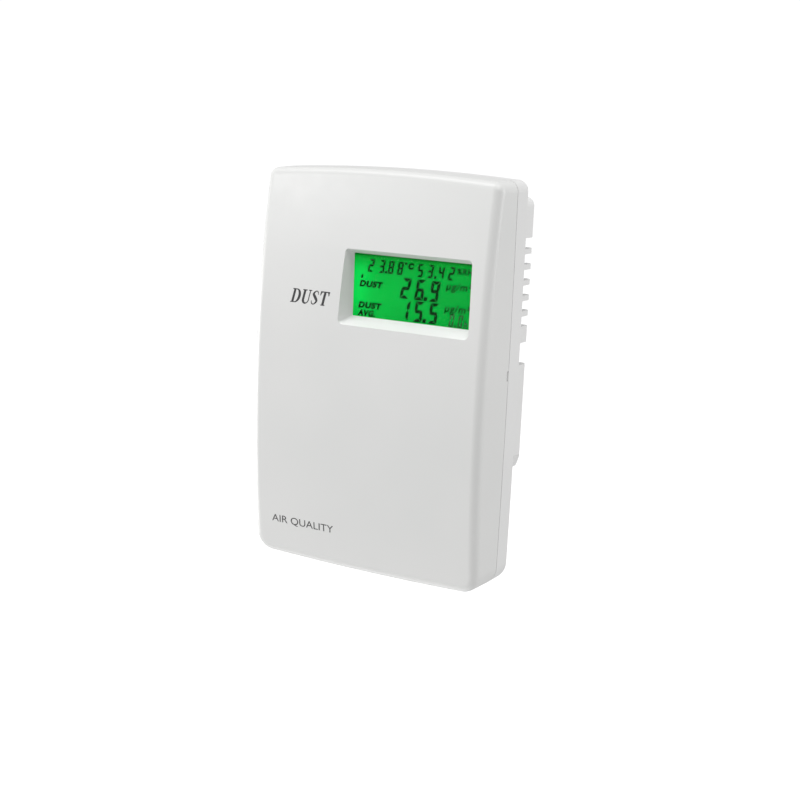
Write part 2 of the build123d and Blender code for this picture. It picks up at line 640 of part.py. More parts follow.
with BuildPart() as board_screws:
    head_front = BOARD_FRONT_DEPTH + SCREW_HEAD_HEIGHT
    cross = (head_front - CROSS_DEPTH, head_front)
    rod(BOSS_PLACES, SCREW_RADIUS, (BOARD_BACK_DEPTH - SCREW_LENGTH, BOARD_FRONT_DEPTH + SHANK_OVERLAP))
    rod(BOSS_PLACES, SCREW_HEAD_RADIUS, (BOARD_FRONT_DEPTH, head_front))
    fillet(board_screws.edges().filter_by(GeomType.CIRCLE).group_by(Axis.Y)[0], SCREW_HEAD_ROUND)
    drive_slots(BOSS_PLACES, CROSS_REACH, cross)
    for x, z in BOSS_PLACES:
        span = (x - SLOT_HALF_WIDTH, x + SLOT_HALF_WIDTH)
        block(span, cross, (z - CROSS_REACH, z + CROSS_REACH), mode=Mode.SUBTRACT)

with BuildPart() as microcontroller:
    component(*MICROCONTROLLER)
    chamfer(microcontroller.faces().sort_by(Axis.Y)[0].edges(), MICROCONTROLLER_CHAMFER)

with BuildPart() as driver_chips:
    for place, size in CHIPS:
        component(place, size)

with BuildPart() as crystal:
    crystal_place, (crystal_length, crystal_width, crystal_stand) = CRYSTAL
    with BuildSketch(at_depth(BOARD_FRONT_DEPTH)):
        with Locations(crystal_place):
            SlotOverall(crystal_length, crystal_width)
    extrude(amount=crystal_stand)
    fillet(crystal.faces().sort_by(Axis.Y)[0].edges(), CRYSTAL_ROUND)

with BuildPart() as electrolytic_capacitors:
    rod(CAPACITOR_PLACES, CAPACITOR_RADIUS, (BOARD_FRONT_DEPTH, BOARD_FRONT_DEPTH + CAPACITOR_HEIGHT))
    tops = electrolytic_capacitors.edges().filter_by(GeomType.CIRCLE).group_by(Axis.Y)[0]
    fillet(tops, CAPACITOR_ROUND)

with BuildPart() as power_inductor:
    component(*INDUCTOR)
    fillet(power_inductor.edges().filter_by(Axis.Y), INDUCTOR_CORNER)
    chamfer(power_inductor.faces().sort_by(Axis.Y)[0].edges(), INDUCTOR_CHAMFER)

with BuildPart() as power_converter:
    component(*CONVERTER)
    chamfer(power_converter.faces().sort_by(Axis.Y)[0].edges(), CONVERTER_CHAMFER)

with BuildPart() as chip_resistors:
    component_bank(RESISTOR_BANK, RESISTOR_SIZE)

with BuildPart() as chip_capacitors:
    component_bank(CERAMIC_BANK, CERAMIC_SIZE)

# ---------------------------------------------------------------- push buttons

BASE_DEPTH = (BOARD_FRONT_DEPTH, BOARD_FRONT_DEPTH + BUTTON_BASE_HEIGHT)
CAP_DEPTH = (BASE_DEPTH[1] - BUTTON_SEAT, BOARD_FRONT_DEPTH + BUTTON_HEIGHT)

with BuildPart() as button_bases:
    for centre in BUTTON_CENTRES:
        component(centre, (BUTTON_BASE, BUTTON_BASE, BUTTON_BASE_HEIGHT))
    well = (BASE_DEPTH[1] - BUTTON_WELL, BASE_DEPTH[1])
    rod(BUTTON_CENTRES, BUTTON_RADIUS + BUTTON_CLEARANCE, well, Mode.SUBTRACT)

buttons = {}
for name, place in BUTTON_PLACES.items():
    with BuildPart() as cap:
        rod([place], BUTTON_RADIUS, CAP_DEPTH)
        fillet(cap.faces().sort_by(Axis.Y)[0].edges(), BUTTON_ROUND)
    buttons[name] = cap

# --------------------------------------------------------------------- display

FILM_X = (GLASS_X[0] + FILM_MARGIN, GLASS_X[1] - FILM_MARGIN)
FILM_Z = (FRONT_GLASS_Z[0] + FILM_MARGIN / 2, FRONT_GLASS_Z[1] - FILM_MARGIN)
FRONT_FILM = (GLASS_DEPTH - POLARISER_THICKNESS, GLASS_DEPTH)
FRONT_GLASS = (FRONT_FILM[0] - GLASS_THICKNESS, FRONT_FILM[0])
REAR_GLASS = (FRONT_GLASS[0] - GLASS_THICKNESS, FRONT_GLASS[0])
REAR_FILM = (REAR_GLASS[0] - POLARISER_THICKNESS, REAR_GLASS[0])
GUIDE = (REAR_FILM[0] - GUIDE_THICKNESS, REAR_FILM[0])
STRIP_X = (GLASS_X[0] + STRIP_MARGIN, GLASS_X[1] - STRIP_MARGIN)
STRIP_Z = (REAR_GLASS_Z[0] + STRIP_HEIGHT[0], REAR_GLASS_Z[0] + STRIP_HEIGHT[1])
LED_BOARD_X = (GLASS_X[0] - LED_BOARD_OFFSET[0], GLASS_X[0] - LED_BOARD_OFFSET[1])

with BuildPart() as front_polariser:
    block(FILM_X, FRONT_FILM, FILM_Z)

with BuildPart() as front_glass:
    block(GLASS_X, FRONT_GLASS, FRONT_GLASS_Z)

with BuildPart() as rear_glass:
    block(GLASS_X, REAR_GLASS, REAR_GLASS_Z)

with BuildPart() as rear_polariser:
    block(FILM_X, REAR_FILM, FILM_Z)

with BuildPart() as light_guide:
    block(GLASS_X, GUIDE, FRONT_GLASS_Z)

with BuildPart() as backlight_board:
    block(LED_BOARD_X, GUIDE, FRONT_GLASS_Z)

with BuildPart() as backlight_leds:
    led_depth = (GUIDE[0] + LED_MARGIN, GUIDE[1] - LED_MARGIN)
    for z in row_of(LED_COUNT, LED_PITCH, sum(FRONT_GLASS_Z) / 2):
        block((LED_BOARD_X[1], GLASS_X[0] - LED_GAP), led_depth, (z - LED_HALF_LENGTH, z + LED_HALF_LENGTH))

with BuildPart() as contact_strip:
    block(STRIP_X, (BOARD_FRONT_DEPTH, REAR_GLASS[0]), STRIP_Z)

with BuildPart() as lcd_frame:
    block(FRAME_X, (BOARD_FRONT_DEPTH, FRAME_FRONT_DEPTH), FRAME_Z)
    fillet(lcd_frame.edges().filter_by(Axis.Y), FRAME_CORNER)
    mouth = FRAME_FRONT_DEPTH + CUT_MARGIN
    block(
        (GLASS_X[0] - FRAME_CLEARANCE, GLASS_X[1] + FRAME_CLEARANCE),
        (REAR_GLASS[0], mouth),
        (REAR_GLASS_Z[0] - FRAME_CLEARANCE, REAR_GLASS_Z[1] + FRAME_CLEARANCE),
        mode=Mode.SUBTRACT,
    )
    block(
        (LED_BOARD_X[0] - FRAME_CLEARANCE, GLASS_X[1] + FRAME_CLEARANCE),
        (GUIDE[0], mouth),
        (FRONT_GLASS_Z[0] - FRAME_CLEARANCE, FRONT_GLASS_Z[1] + FRAME_CLEARANCE),
        mode=Mode.SUBTRACT,
    )
    block(
        (STRIP_X[0] - FRAME_CLEARANCE, STRIP_X[1] + FRAME_CLEARANCE),
        (BOARD_FRONT_DEPTH - CUT_MARGIN, mouth),
        (STRIP_Z[0] - FRAME_CLEARANCE / 2, STRIP_Z[1] + FRAME_CLEARANCE / 2),
        mode=Mode.SUBTRACT,
    )
    rod(FRAME_LEGS, FRAME_LEG_RADIUS, (BOARD_BACK_DEPTH - FRAME_LEG_STAND, BOARD_FRONT_DEPTH))

# ------------------------------------------------------------- particle sensor

INSIDE_X = (SENSOR_X[0] + SENSOR_WALL, SENSOR_X[1] - SENSOR_WALL)
INSIDE_Z = (SENSOR_Z[0] + SENSOR_WALL, SENSOR_Z[1] - SENSOR_WALL)
LID_BACK = SENSOR_DEPTH[1] - SENSOR_WALL
CASE_FLOOR = SENSOR_DEPTH[0] + SENSOR_WALL
DUCT_BORE_DEPTH = (INLET_DEPTH[0] + DUCT_WALL, INLET_DEPTH[1])

with BuildPart() as sensor_case:
    block(SENSOR_X, (SENSOR_DEPTH[0], LID_BACK), SENSOR_Z)
    fillet(sensor_case.edges().filter_by(Axis.Y), SENSOR_CORNER)
    block(INSIDE_X, (CASE_FLOOR, LID_BACK), INSIDE_Z, mode=Mode.SUBTRACT)
    right_wall = (INSIDE_X[1] - SENSOR_WALL / 2, SENSOR_X[1] + CUT_MARGIN)
    left_wall = (SENSOR_X[0] - CUT_MARGIN, INSIDE_X[0] + SENSOR_WALL / 2)
    block(right_wall, INLET_DEPTH, INLET_Z, mode=Mode.SUBTRACT)
    block(right_wall, FAN_OUTLET_DEPTH, FAN_OUTLET_Z, mode=Mode.SUBTRACT)
    block(left_wall, *SENSOR_SOCKET_WINDOW, mode=Mode.SUBTRACT)

with BuildPart() as sensor_lid:
    block(SENSOR_X, (LID_BACK, SENSOR_DEPTH[1]), SENSOR_Z)
    fillet(sensor_lid.edges().filter_by(Axis.Y), SENSOR_CORNER)

with BuildPart() as sensor_board:
    block(
        (INSIDE_X[0] + SENSOR_BOARD_MARGIN, SENSOR_BOARD_X),
        SENSOR_BOARD_DEPTH,
        (INSIDE_Z[0] + SENSOR_BOARD_MARGIN, INSIDE_Z[1] - SENSOR_BOARD_MARGIN),
    )

with BuildPart() as laser_module:
    with BuildSketch(Plane.YZ.offset(LASER_X[0])):
        with Locations((-LASER_DEPTH, LASER_Z)):
            Circle(LASER_RADIUS)
    extrude(amount=LASER_X[1] - LASER_X[0])
    with BuildSketch(laser_module.faces().sort_by(Axis.X)[-1]):
        Circle(LASER_BORE_RADIUS)
    extrude(amount=-LASER_BORE_LENGTH, mode=Mode.SUBTRACT)

with BuildPart() as air_duct:
    block(DUCT_X, (CASE_FLOOR, DUCT_FRONT), DUCT_Z)
    block((DUCT_X[0] - CUT_MARGIN, DUCT_X[1] + CUT_MARGIN), DUCT_BORE_DEPTH, INLET_Z, mode=Mode.SUBTRACT)
    branch_z = (INLET_Z[1] - CUT_MARGIN, DUCT_Z[1] + CUT_MARGIN)
    block(DUCT_BRANCH_X, DUCT_BORE_DEPTH, branch_z, mode=Mode.SUBTRACT)
    pocket_depth = (INLET_DEPTH[1] - CUT_MARGIN, PHOTODIODE_FRONT)
    block(PHOTODIODE_X, pocket_depth, PHOTODIODE_Z, mode=Mode.SUBTRACT)

with BuildPart() as photodiode:
    block(PHOTODIODE_X, (INLET_DEPTH[1], PHOTODIODE_FRONT), PHOTODIODE_Z)

with BuildPart() as fan_frame:
    block(FAN_FRAME_X, (FAN_FLOOR_DEPTH, FAN_FRAME_FRONT), FAN_FRAME_Z)
    bore = (FAN_MOTOR_DEPTH[0], FAN_FRAME_FRONT)
    rod([FAN_CENTRE], FAN_RADIUS + FAN_BORE_CLEARANCE, bore, Mode.SUBTRACT)
    outlet_x = (FAN_CENTRE[0], FAN_FRAME_X[1] + CUT_MARGIN)
    block(outlet_x, FAN_OUTLET_DEPTH, FAN_OUTLET_Z, mode=Mode.SUBTRACT)

with BuildPart() as fan_motor:
    rod([FAN_CENTRE], FAN_MOTOR_RADIUS, FAN_MOTOR_DEPTH)
    rod([FAN_CENTRE], FAN_SHAFT_RADIUS, (FAN_MOTOR_DEPTH[0], SHAFT_END_DEPTH))

with BuildPart() as fan_rotor:
    rod([FAN_CENTRE], FAN_RADIUS, ROTOR_DISC_DEPTH)
    rod([FAN_CENTRE], FAN_HUB_RADIUS, (ROTOR_BACK_DEPTH, ROTOR_DISC_DEPTH[1]))
    with BuildSketch(at_depth(BLADE_DEPTH[0])):
        with Locations(FAN_CENTRE):
            with PolarLocations((FAN_HUB_RADIUS + FAN_RADIUS) / 2 - BLADE_ROOT, FAN_BLADES):
                Rectangle(FAN_RADIUS - FAN_HUB_RADIUS, BLADE_THICKNESS)
    extrude(amount=BLADE_DEPTH[1] - BLADE_DEPTH[0])
    motor_bore = (ROTOR_BACK_DEPTH, ROTOR_DISC_DEPTH[0])
    shaft_bore = (ROTOR_BACK_DEPTH, ROTOR_DISC_DEPTH[1])
    rod([FAN_CENTRE], FAN_MOTOR_RADIUS + ROTOR_BORE_CLEARANCE, motor_bore, Mode.SUBTRACT)
    rod([FAN_CENTRE], FAN_SHAFT_RADIUS + SHAFT_CLEARANCE, shaft_bore, Mode.SUBTRACT)

with BuildPart() as inlet_seal:
    block((SENSOR_X[1], PLATEAU_HALF_WIDTH - WALL), SEAL_DEPTH, SEAL_Z)
    seal_bore_x = (SENSOR_X[1] - CUT_MARGIN, PLATEAU_HALF_WIDTH)
    block(seal_bore_x, SEAL_BORE_DEPTH, INLET_GAP, mode=Mode.SUBTRACT)

with BuildPart() as sensor_strap:
    with BuildSketch(at_depth(SENSOR_DEPTH[1])):
        with Locations((STRAP_X, sum(STRAP_SCREW_Z) / 2)):
            SlotOverall(STRAP_SCREW_Z[1] - STRAP_SCREW_Z[0] + STRAP_WIDTH, STRAP_WIDTH, rotation=90)
        with Locations(*STRAP_BOSSES):
            Circle(SMALL_PILOT_RADIUS + STRAP_HOLE_CLEARANCE, mode=Mode.SUBTRACT)
    extrude(amount=STRAP_THICKNESS)

with BuildPart() as strap_screws:
    strap_front = SENSOR_DEPTH[1] + STRAP_THICKNESS
    strap_head = strap_front + SMALL_HEAD_HEIGHT
    strap_shank = (SENSOR_DEPTH[1] - STRAP_SCREW_LENGTH, strap_front + SHANK_OVERLAP)
    rod(STRAP_BOSSES, SMALL_SCREW_RADIUS, strap_shank)
    rod(STRAP_BOSSES, STRAP_HEAD_RADIUS, (strap_front, strap_head))
    drive_slots(STRAP_BOSSES, STRAP_SLOT_REACH, (strap_head - SMALL_SLOT_DEPTH, strap_head))

# --------------------------------------------------- internal leads and sockets

with BuildPart() as sensor_socket:
    block(*SENSOR_SOCKET)
    block(*SENSOR_SOCKET_MOUTH, mode=Mode.SUBTRACT)

with BuildPart() as board_sockets:
    block(*WIDE_SOCKET)
    block(*WIDE_SOCKET_MOUTH, mode=Mode.SUBTRACT)
    block(*NARROW_SOCKET)
    block(*NARROW_SOCKET_MOUTH, mode=Mode.SUBTRACT)

with BuildPart() as lead_plugs:
    block(*SENSOR_PLUG)
    block(*WIDE_PLUG)
    block(*NARROW_PLUG)

with BuildPart() as sensor_lead:
    wires(Plane.XY, SENSOR_ROUTE, row_of(*SENSOR_WIRES), WIRE_RADIUS)

with BuildPart() as climate_lead:
    wires(Plane.YZ, CLIMATE_ROUTE, row_of(*CLIMATE_WIRES), WIRE_RADIUS)

with BuildPart() as climate_board:
    block(CLIMATE_X, CLIMATE_DEPTH, CLIMATE_Z)
    rod(CLIMATE_POSTS, CLIMATE_PIN_RADIUS + LEG_CLEARANCE, CLIMATE_DEPTH, Mode.SUBTRACT)

with BuildPart() as climate_chip:
    chip_x, chip_z = CLIMATE_CHIP_PLACE
    chip_half = CLIMATE_CHIP_WIDTH / 2
    chip_front = CLIMATE_DEPTH[1] + CLIMATE_CHIP_STAND
    chip_span = (chip_z - chip_half, chip_z + chip_half)
    block((chip_x - chip_half, chip_x + chip_half), (CLIMATE_DEPTH[1], chip_front), chip_span)
    port = (chip_front - CLIMATE_PORT_DEPTH, chip_front)
    rod([CLIMATE_CHIP_PLACE], CLIMATE_PORT_RADIUS, port, Mode.SUBTRACT)

# ------------------------------------------------------------ wiring terminals

CLAMP_PLACES = [(x, CLAMP_SCREW_Z) for x in row_of(TERMINAL_COUNT, TERMINAL_PITCH)]


def terminal_pins_shape(mode=Mode.ADD):
    """Bent pins from the terminal board into the header's mouth, in the active part."""
    upright = (PIN_DEPTH[0], TERMINAL_BOARD_DEPTH[1] + PIN_STAND)
    per_terminal((PIN_HALF, upright, PIN_ROW_Z), mode)
    per_terminal((PIN_HALF, PIN_DEPTH, (PIN_TIP_Z, PIN_ROW_Z[1])), mode)


with BuildPart() as terminal_board:
    block((-TERMINAL_BOARD_X, TERMINAL_BOARD_X), TERMINAL_BOARD_DEPTH, TERMINAL_BOARD_Z)
    hole_radius = SMALL_PILOT_RADIUS + BOARD_HOLE_CLEARANCE
    rod(TERMINAL_PADS, hole_radius, TERMINAL_BOARD_DEPTH, Mode.SUBTRACT)
    terminal_pins_shape(Mode.SUBTRACT)

with BuildPart() as terminal_board_screws:
    pad_front = TERMINAL_BOARD_DEPTH[1]
    pad_head = pad_front + SMALL_HEAD_HEIGHT
    pad_shank = (TERMINAL_BOARD_DEPTH[0] - PAD_SCREW_REACH, pad_front + SHANK_OVERLAP)
    rod(TERMINAL_PADS, SMALL_SCREW_RADIUS, pad_shank)
    rod(TERMINAL_PADS, PAD_HEAD_RADIUS, (pad_front, pad_head))
    drive_slots(TERMINAL_PADS, PAD_SLOT_REACH, (pad_head - SMALL_SLOT_DEPTH, pad_head))

with BuildPart() as terminal_header:
    block((-HEADER_X, HEADER_X), HEADER_DEPTH, HEADER_Z)
    block(
        (HEADER_WALL - HEADER_X, HEADER_X - HEADER_WALL),
        (HEADER_DEPTH[0] + HEADER_WALL, HEADER_DEPTH[1] - HEADER_WALL),
        (HEADER_Z[0] - CUT_MARGIN, HEADER_MOUTH_TOP),
        mode=Mode.SUBTRACT,
    )
    terminal_pins_shape(Mode.SUBTRACT)

with BuildPart() as terminal_pins:
    terminal_pins_shape()

with BuildPart() as terminal_plug:
    block(*PLUG_NOSE)
    block(*PLUG_BODY)
    per_terminal(PIN_SOCKET, Mode.SUBTRACT)
    per_terminal(WIRE_ENTRY, Mode.SUBTRACT)
    rod(CLAMP_PLACES, CLAMP_WELL_RADIUS, (PLUG_BODY[1][0], WIRE_ENTRY[1][0]), Mode.SUBTRACT)

with BuildPart() as wire_clamps:
    per_terminal(CLAMP)
    per_terminal(CLAMP_HOLE, Mode.SUBTRACT)
    rod(CLAMP_PLACES, CLAMP_SHANK_RADIUS + LEG_CLEARANCE, (CLAMP[1][0], CLAMP_HOLE[1][0]), Mode.SUBTRACT)

with BuildPart() as clamp_screws:
    rod(CLAMP_PLACES, CLAMP_HEAD_RADIUS, CLAMP_HEAD_DEPTH)
    rod(CLAMP_PLACES, CLAMP_SHANK_RADIUS, CLAMP_SHANK_DEPTH)
    drive_slots(CLAMP_PLACES, CLAMP_WELL_RADIUS, CLAMP_SLOT_DEPTH)

LINK_X = (-LINK_COUNT * LINK_PITCH / 2, LINK_COUNT * LINK_PITCH / 2)
LINK_SPAN = (LINK_Z - LINK_HALF_HEIGHT, LINK_Z + LINK_HALF_HEIGHT)
LINK_HEADER_DEPTH = (TERMINAL_BOARD_DEPTH[1], LINK_SPLIT_DEPTH - LINK_GAP / 2)
LINK_SOCKET_DEPTH = (LINK_SPLIT_DEPTH + LINK_GAP / 2, BOARD_BACK_DEPTH)
LINK_BORE_DEPTH = (LINK_SOCKET_DEPTH[0], LINK_PIN_END + 2 * LINK_GAP)

with BuildPart() as link_header:
    block(LINK_X, LINK_HEADER_DEPTH, LINK_SPAN)
    rod(LINK_PINS, LINK_PIN_RADIUS, LINK_HEADER_DEPTH, Mode.SUBTRACT)

with BuildPart() as link_pins:
    rod(LINK_PINS, LINK_PIN_RADIUS, (LINK_HEADER_DEPTH[0], LINK_PIN_END))

with BuildPart() as link_socket:
    block(LINK_X, LINK_SOCKET_DEPTH, LINK_SPAN)
    rod(LINK_PINS, LINK_PIN_RADIUS + LINK_GAP, LINK_BORE_DEPTH, Mode.SUBTRACT)

# ------------------------------------------------------------------ write files

PIECES = {
    "wall_plate": wall_plate,
    "rear_cover": rear_cover,
    "front_cover": front_cover,
    "main_board": main_board,
    "board_screws": board_screws,
    "microcontroller": microcontroller,
    "driver_chips": driver_chips,
    "crystal": crystal,
    "electrolytic_capacitors": electrolytic_capacitors,
    "power_inductor": power_inductor,
    "power_converter": power_converter,
    "chip_resistors": chip_resistors,
    "chip_capacitors": chip_capacitors,
    "button_bases": button_bases,
    **buttons,
    "front_polariser": front_polariser,
    "front_glass": front_glass,
    "rear_glass": rear_glass,
    "rear_polariser": rear_polariser,
    "light_guide": light_guide,
    "backlight_board": backlight_board,
    "backlight_leds": backlight_leds,
    "contact_strip": contact_strip,
    "lcd_frame": lcd_frame,
    "sensor_case": sensor_case,
    "sensor_lid": sensor_lid,
    "sensor_board": sensor_board,
    "laser_module": laser_module,
    "air_duct": air_duct,
    "photodiode": photodiode,
    "fan_frame": fan_frame,
    "fan_motor": fan_motor,
    "fan_rotor": fan_rotor,
    "inlet_seal": inlet_seal,
    "sensor_strap": sensor_strap,
    "strap_screws": strap_screws,
    "sensor_socket": sensor_socket,
    "board_sockets": board_sockets,
    "lead_plugs": lead_plugs,
    "sensor_lead": sensor_lead,
    "climate_lead": climate_lead,
    "climate_board": climate_board,
    "climate_chip": climate_chip,
    "terminal_board": terminal_board,
    "terminal_board_screws": terminal_board_screws,
    "terminal_header": terminal_header,
    "terminal_pins": terminal_pins,
    "terminal_plug": terminal_plug,
    "wire_clamps": wire_clamps,
    "clamp_screws": clamp_screws,
    "link_header": link_header,
    "link_pins": link_pins,
    "link_socket": link_socket,
}

os.makedirs("parts", exist_ok=True)
for name, piece in PIECES.items():
    piece.part.label = name
    export_step(piece.part, f"parts/{name}.step")
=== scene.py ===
"""Studio picture of the wall-mounted air quality monitor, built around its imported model."""

import json
import math
import random

import bmesh
import bpy
from mathutils import Matrix, Vector


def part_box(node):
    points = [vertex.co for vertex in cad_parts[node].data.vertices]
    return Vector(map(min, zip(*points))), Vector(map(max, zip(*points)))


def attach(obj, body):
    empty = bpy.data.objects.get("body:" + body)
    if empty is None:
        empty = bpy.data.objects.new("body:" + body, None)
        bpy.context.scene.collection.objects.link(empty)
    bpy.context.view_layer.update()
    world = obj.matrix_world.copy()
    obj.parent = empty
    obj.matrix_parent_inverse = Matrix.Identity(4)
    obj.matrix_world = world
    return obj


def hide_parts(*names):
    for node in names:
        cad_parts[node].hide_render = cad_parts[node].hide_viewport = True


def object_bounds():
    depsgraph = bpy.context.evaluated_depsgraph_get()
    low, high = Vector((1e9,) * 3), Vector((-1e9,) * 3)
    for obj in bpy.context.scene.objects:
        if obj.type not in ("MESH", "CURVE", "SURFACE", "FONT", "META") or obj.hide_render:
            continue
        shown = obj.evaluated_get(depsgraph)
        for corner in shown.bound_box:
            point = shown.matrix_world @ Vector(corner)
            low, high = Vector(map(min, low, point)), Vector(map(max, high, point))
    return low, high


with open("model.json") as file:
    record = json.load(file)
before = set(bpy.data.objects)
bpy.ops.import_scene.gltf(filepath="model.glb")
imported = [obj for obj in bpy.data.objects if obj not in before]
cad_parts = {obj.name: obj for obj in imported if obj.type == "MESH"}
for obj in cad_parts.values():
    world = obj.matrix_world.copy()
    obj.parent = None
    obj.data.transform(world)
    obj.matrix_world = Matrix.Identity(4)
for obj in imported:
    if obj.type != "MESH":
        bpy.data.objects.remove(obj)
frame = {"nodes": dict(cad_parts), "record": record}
CAD_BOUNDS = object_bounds()
NODES = frame["nodes"]
SCENE = bpy.context.scene
MM = 0.001


# ==================================================================== camera

CAMERA_TARGET = Vector((3.456, -18.0, -9.119)) * MM
CAMERA_YAW = math.radians(29.32)
CAMERA_ELEVATION = math.radians(11.68)
CAMERA_ROLL = math.radians(2.44)
CAMERA_DISTANCE = 457.385 * MM
CAMERA_LENS = 63.42
SENSOR_WIDTH = 36.0


def direction(yaw, elevation):
    """Unit vector from the object towards the room, turned to the right by yaw and up by elevation."""
    level = math.cos(elevation)
    return Vector((level * math.sin(yaw), -level * math.cos(yaw), math.sin(elevation)))


def make_camera():
    """Camera looking at the target from its yaw, elevation and distance, rolled about its axis."""
    back = direction(CAMERA_YAW, CAMERA_ELEVATION)
    right = Vector((0, 0, 1)).cross(back).normalized()
    up = back.cross(right)
    rolled_right = math.cos(CAMERA_ROLL) * right + math.sin(CAMERA_ROLL) * up
    rolled_up = back.cross(rolled_right)
    data = bpy.data.cameras.new("camera")
    data.sensor_width = SENSOR_WIDTH
    data.lens = CAMERA_LENS
    data.clip_start = 0.01
    camera = bpy.data.objects.new("camera", data)
    SCENE.collection.objects.link(camera)
    axes = Matrix((rolled_right, rolled_up, back)).transposed().to_4x4()
    camera.matrix_world = Matrix.Translation(CAMERA_TARGET + back * CAMERA_DISTANCE) @ axes
    SCENE.camera = camera


# ==================================================================== studio

FLOOR_Z = -0.32
FLOOR_SIZE = 6.0
FLOOR_GLOW = 0.6
# Name, yaw and elevation in degrees seen from the front, distance and size in metres, power in watts
LIGHTS = [
    ("key", -40, 18, 1.0, 0.2, 1.7),
    ("top_left", -50, 65, 1.0, 0.45, 2.7),
    ("top_right", 50, 65, 1.0, 0.45, 2.1),
    ("back_right", 120, 15, 1.0, 0.45, 2.4),
    ("low_left", -80, -15, 1.0, 0.45, 6.5),
    ("bounce", -50, -81, 0.3, 0.24, 0.25),
]
# Strength of the even light on the object, and of the white that only the camera sees
AMBIENT = 0.538
BACKDROP = 1.05


def add_light(name, yaw, elevation, distance, size, power):
    """Square area light aimed at the middle of the object."""
    data = bpy.data.lights.new(name, "AREA")
    data.energy = power
    data.size = size
    light = bpy.data.objects.new(name, data)
    light.visible_camera = False
    SCENE.collection.objects.link(light)
    low, high = CAD_BOUNDS
    towards = direction(math.radians(yaw), math.radians(elevation))
    light.location = (Vector(low) + Vector(high)) / 2 + towards * distance
    light.rotation_euler = (-towards).to_track_quat("-Z", "Y").to_euler()


def make_world():
    """White backdrop for the camera, and a dimmer even light on the object."""
    world = bpy.data.worlds.new("studio")
    SCENE.world = world
    world.use_nodes = True
    tree = world.node_tree
    tree.nodes.clear()
    path = tree.nodes.new("ShaderNodeLightPath")
    mix = tree.nodes.new("ShaderNodeMixShader")
    tree.links.new(path.outputs["Is Camera Ray"], mix.inputs["Fac"])
    for slot, strength in ((1, AMBIENT), (2, BACKDROP)):
        background = tree.nodes.new("ShaderNodeBackground")
        background.inputs["Color"].default_value = (1, 1, 1, 1)
        background.inputs["Strength"].default_value = strength
        tree.links.new(background.outputs["Background"], mix.inputs[slot])
    output = tree.nodes.new("ShaderNodeOutputWorld")
    tree.links.new(mix.outputs["Shader"], output.inputs["Surface"])


def make_floor():
    """Plain pale floor well below the object."""
    half = FLOOR_SIZE / 2
    corners = [(x * half, y * half, FLOOR_Z) for x, y in ((-1, -1), (1, -1), (1, 1), (-1, 1))]
    mesh = bpy.data.meshes.new("floor")
    mesh.from_pydata(corners, [], [(0, 1, 2, 3)])
    floor = bpy.data.objects.new("floor", mesh)
    SCENE.collection.objects.link(floor)
    floor.visible_diffuse = False
    floor.visible_glossy = False
    material, tree, shader = new_material("floor_white")
    shader.inputs["Emission Color"].default_value = (1, 1, 1, 1)
    shader.inputs["Emission Strength"].default_value = FLOOR_GLOW
    mottle(tree, shader, (0.88, 0.88, 0.88), (0.92, 0.92, 0.92), 3.0)
    mesh.materials.append(material)


# ========================================================== material building


def new_material(name):
    """Material with a Principled shader, with its tree and the shader."""
    material = bpy.data.materials.new(name)
    material.use_nodes = True
    tree = material.node_tree
    return material, tree, tree.nodes["Principled BSDF"]


def object_space(tree, stretch=(1, 1, 1)):
    """Place on the object in metres, stretched along each axis."""
    coordinates = tree.nodes.new("ShaderNodeTexCoord")
    mapping = tree.nodes.new("ShaderNodeMapping")
    mapping.inputs["Scale"].default_value = stretch
    tree.links.new(coordinates.outputs["Object"], mapping.inputs["Vector"])
    return mapping.outputs["Vector"]


def noise(tree, scale, detail=3.0, stretch=(1, 1, 1)):
    """Noise from 0 to 1 whose features are about 1 / scale metres across."""
    node = tree.nodes.new("ShaderNodeTexNoise")
    node.inputs["Scale"].default_value = scale
    node.inputs["Detail"].default_value = detail
    tree.links.new(object_space(tree, stretch), node.inputs["Vector"])
    return node.outputs["Fac"]


def remap(tree, value, source, target, smooth=False):
    """Value carried from one range to another, and held at its ends."""
    node = tree.nodes.new("ShaderNodeMapRange")
    node.interpolation_type = "SMOOTHSTEP" if smooth else "LINEAR"
    tree.links.new(value, node.inputs["Value"])
    node.inputs["From Min"].default_value, node.inputs["From Max"].default_value = source
    node.inputs["To Min"].default_value, node.inputs["To Max"].default_value = target
    return node.outputs["Result"]


def multiply(tree, first, second):
    """Product of two values."""
    node = tree.nodes.new("ShaderNodeMath")
    node.operation = "MULTIPLY"
    tree.links.new(first, node.inputs[0])
    tree.links.new(second, node.inputs[1])
    return node.outputs["Value"]


def mix_colours(tree, factor, first, second):
    """Colour that goes from the first to the second. Each is a colour or a socket."""
    node = tree.nodes.new("ShaderNodeMix")
    node.data_type = "RGBA"
    tree.links.new(factor, node.inputs["Factor"])
    for name, colour in (("A", first), ("B", second)):
        socket = next(s for s in node.inputs if s.name == name and s.type == "RGBA")
        if isinstance(colour, tuple):
            socket.default_value = (*colour, 1)
        else:
            tree.links.new(colour, socket)
    return next(s for s in node.outputs if s.type == "RGBA")


def mottle(tree, shader, dark, light, scale, detail=3.0, stretch=(1, 1, 1)):
    """Base colour that wanders between two shades. Gives its socket."""
    factor = remap(tree, noise(tree, scale, detail, stretch), (0.35, 0.65), (0, 1))
    colour = mix_colours(tree, factor, dark, light)
    tree.links.new(colour, shader.inputs["Base Color"])
    return colour


def vary_roughness(tree, shader, span, scale, stretch=(1, 1, 1)):
    """Roughness that wanders over a span."""
    value = remap(tree, noise(tree, scale, 4.0, stretch), (0.3, 0.7), span)
    tree.links.new(value, shader.inputs["Roughness"])


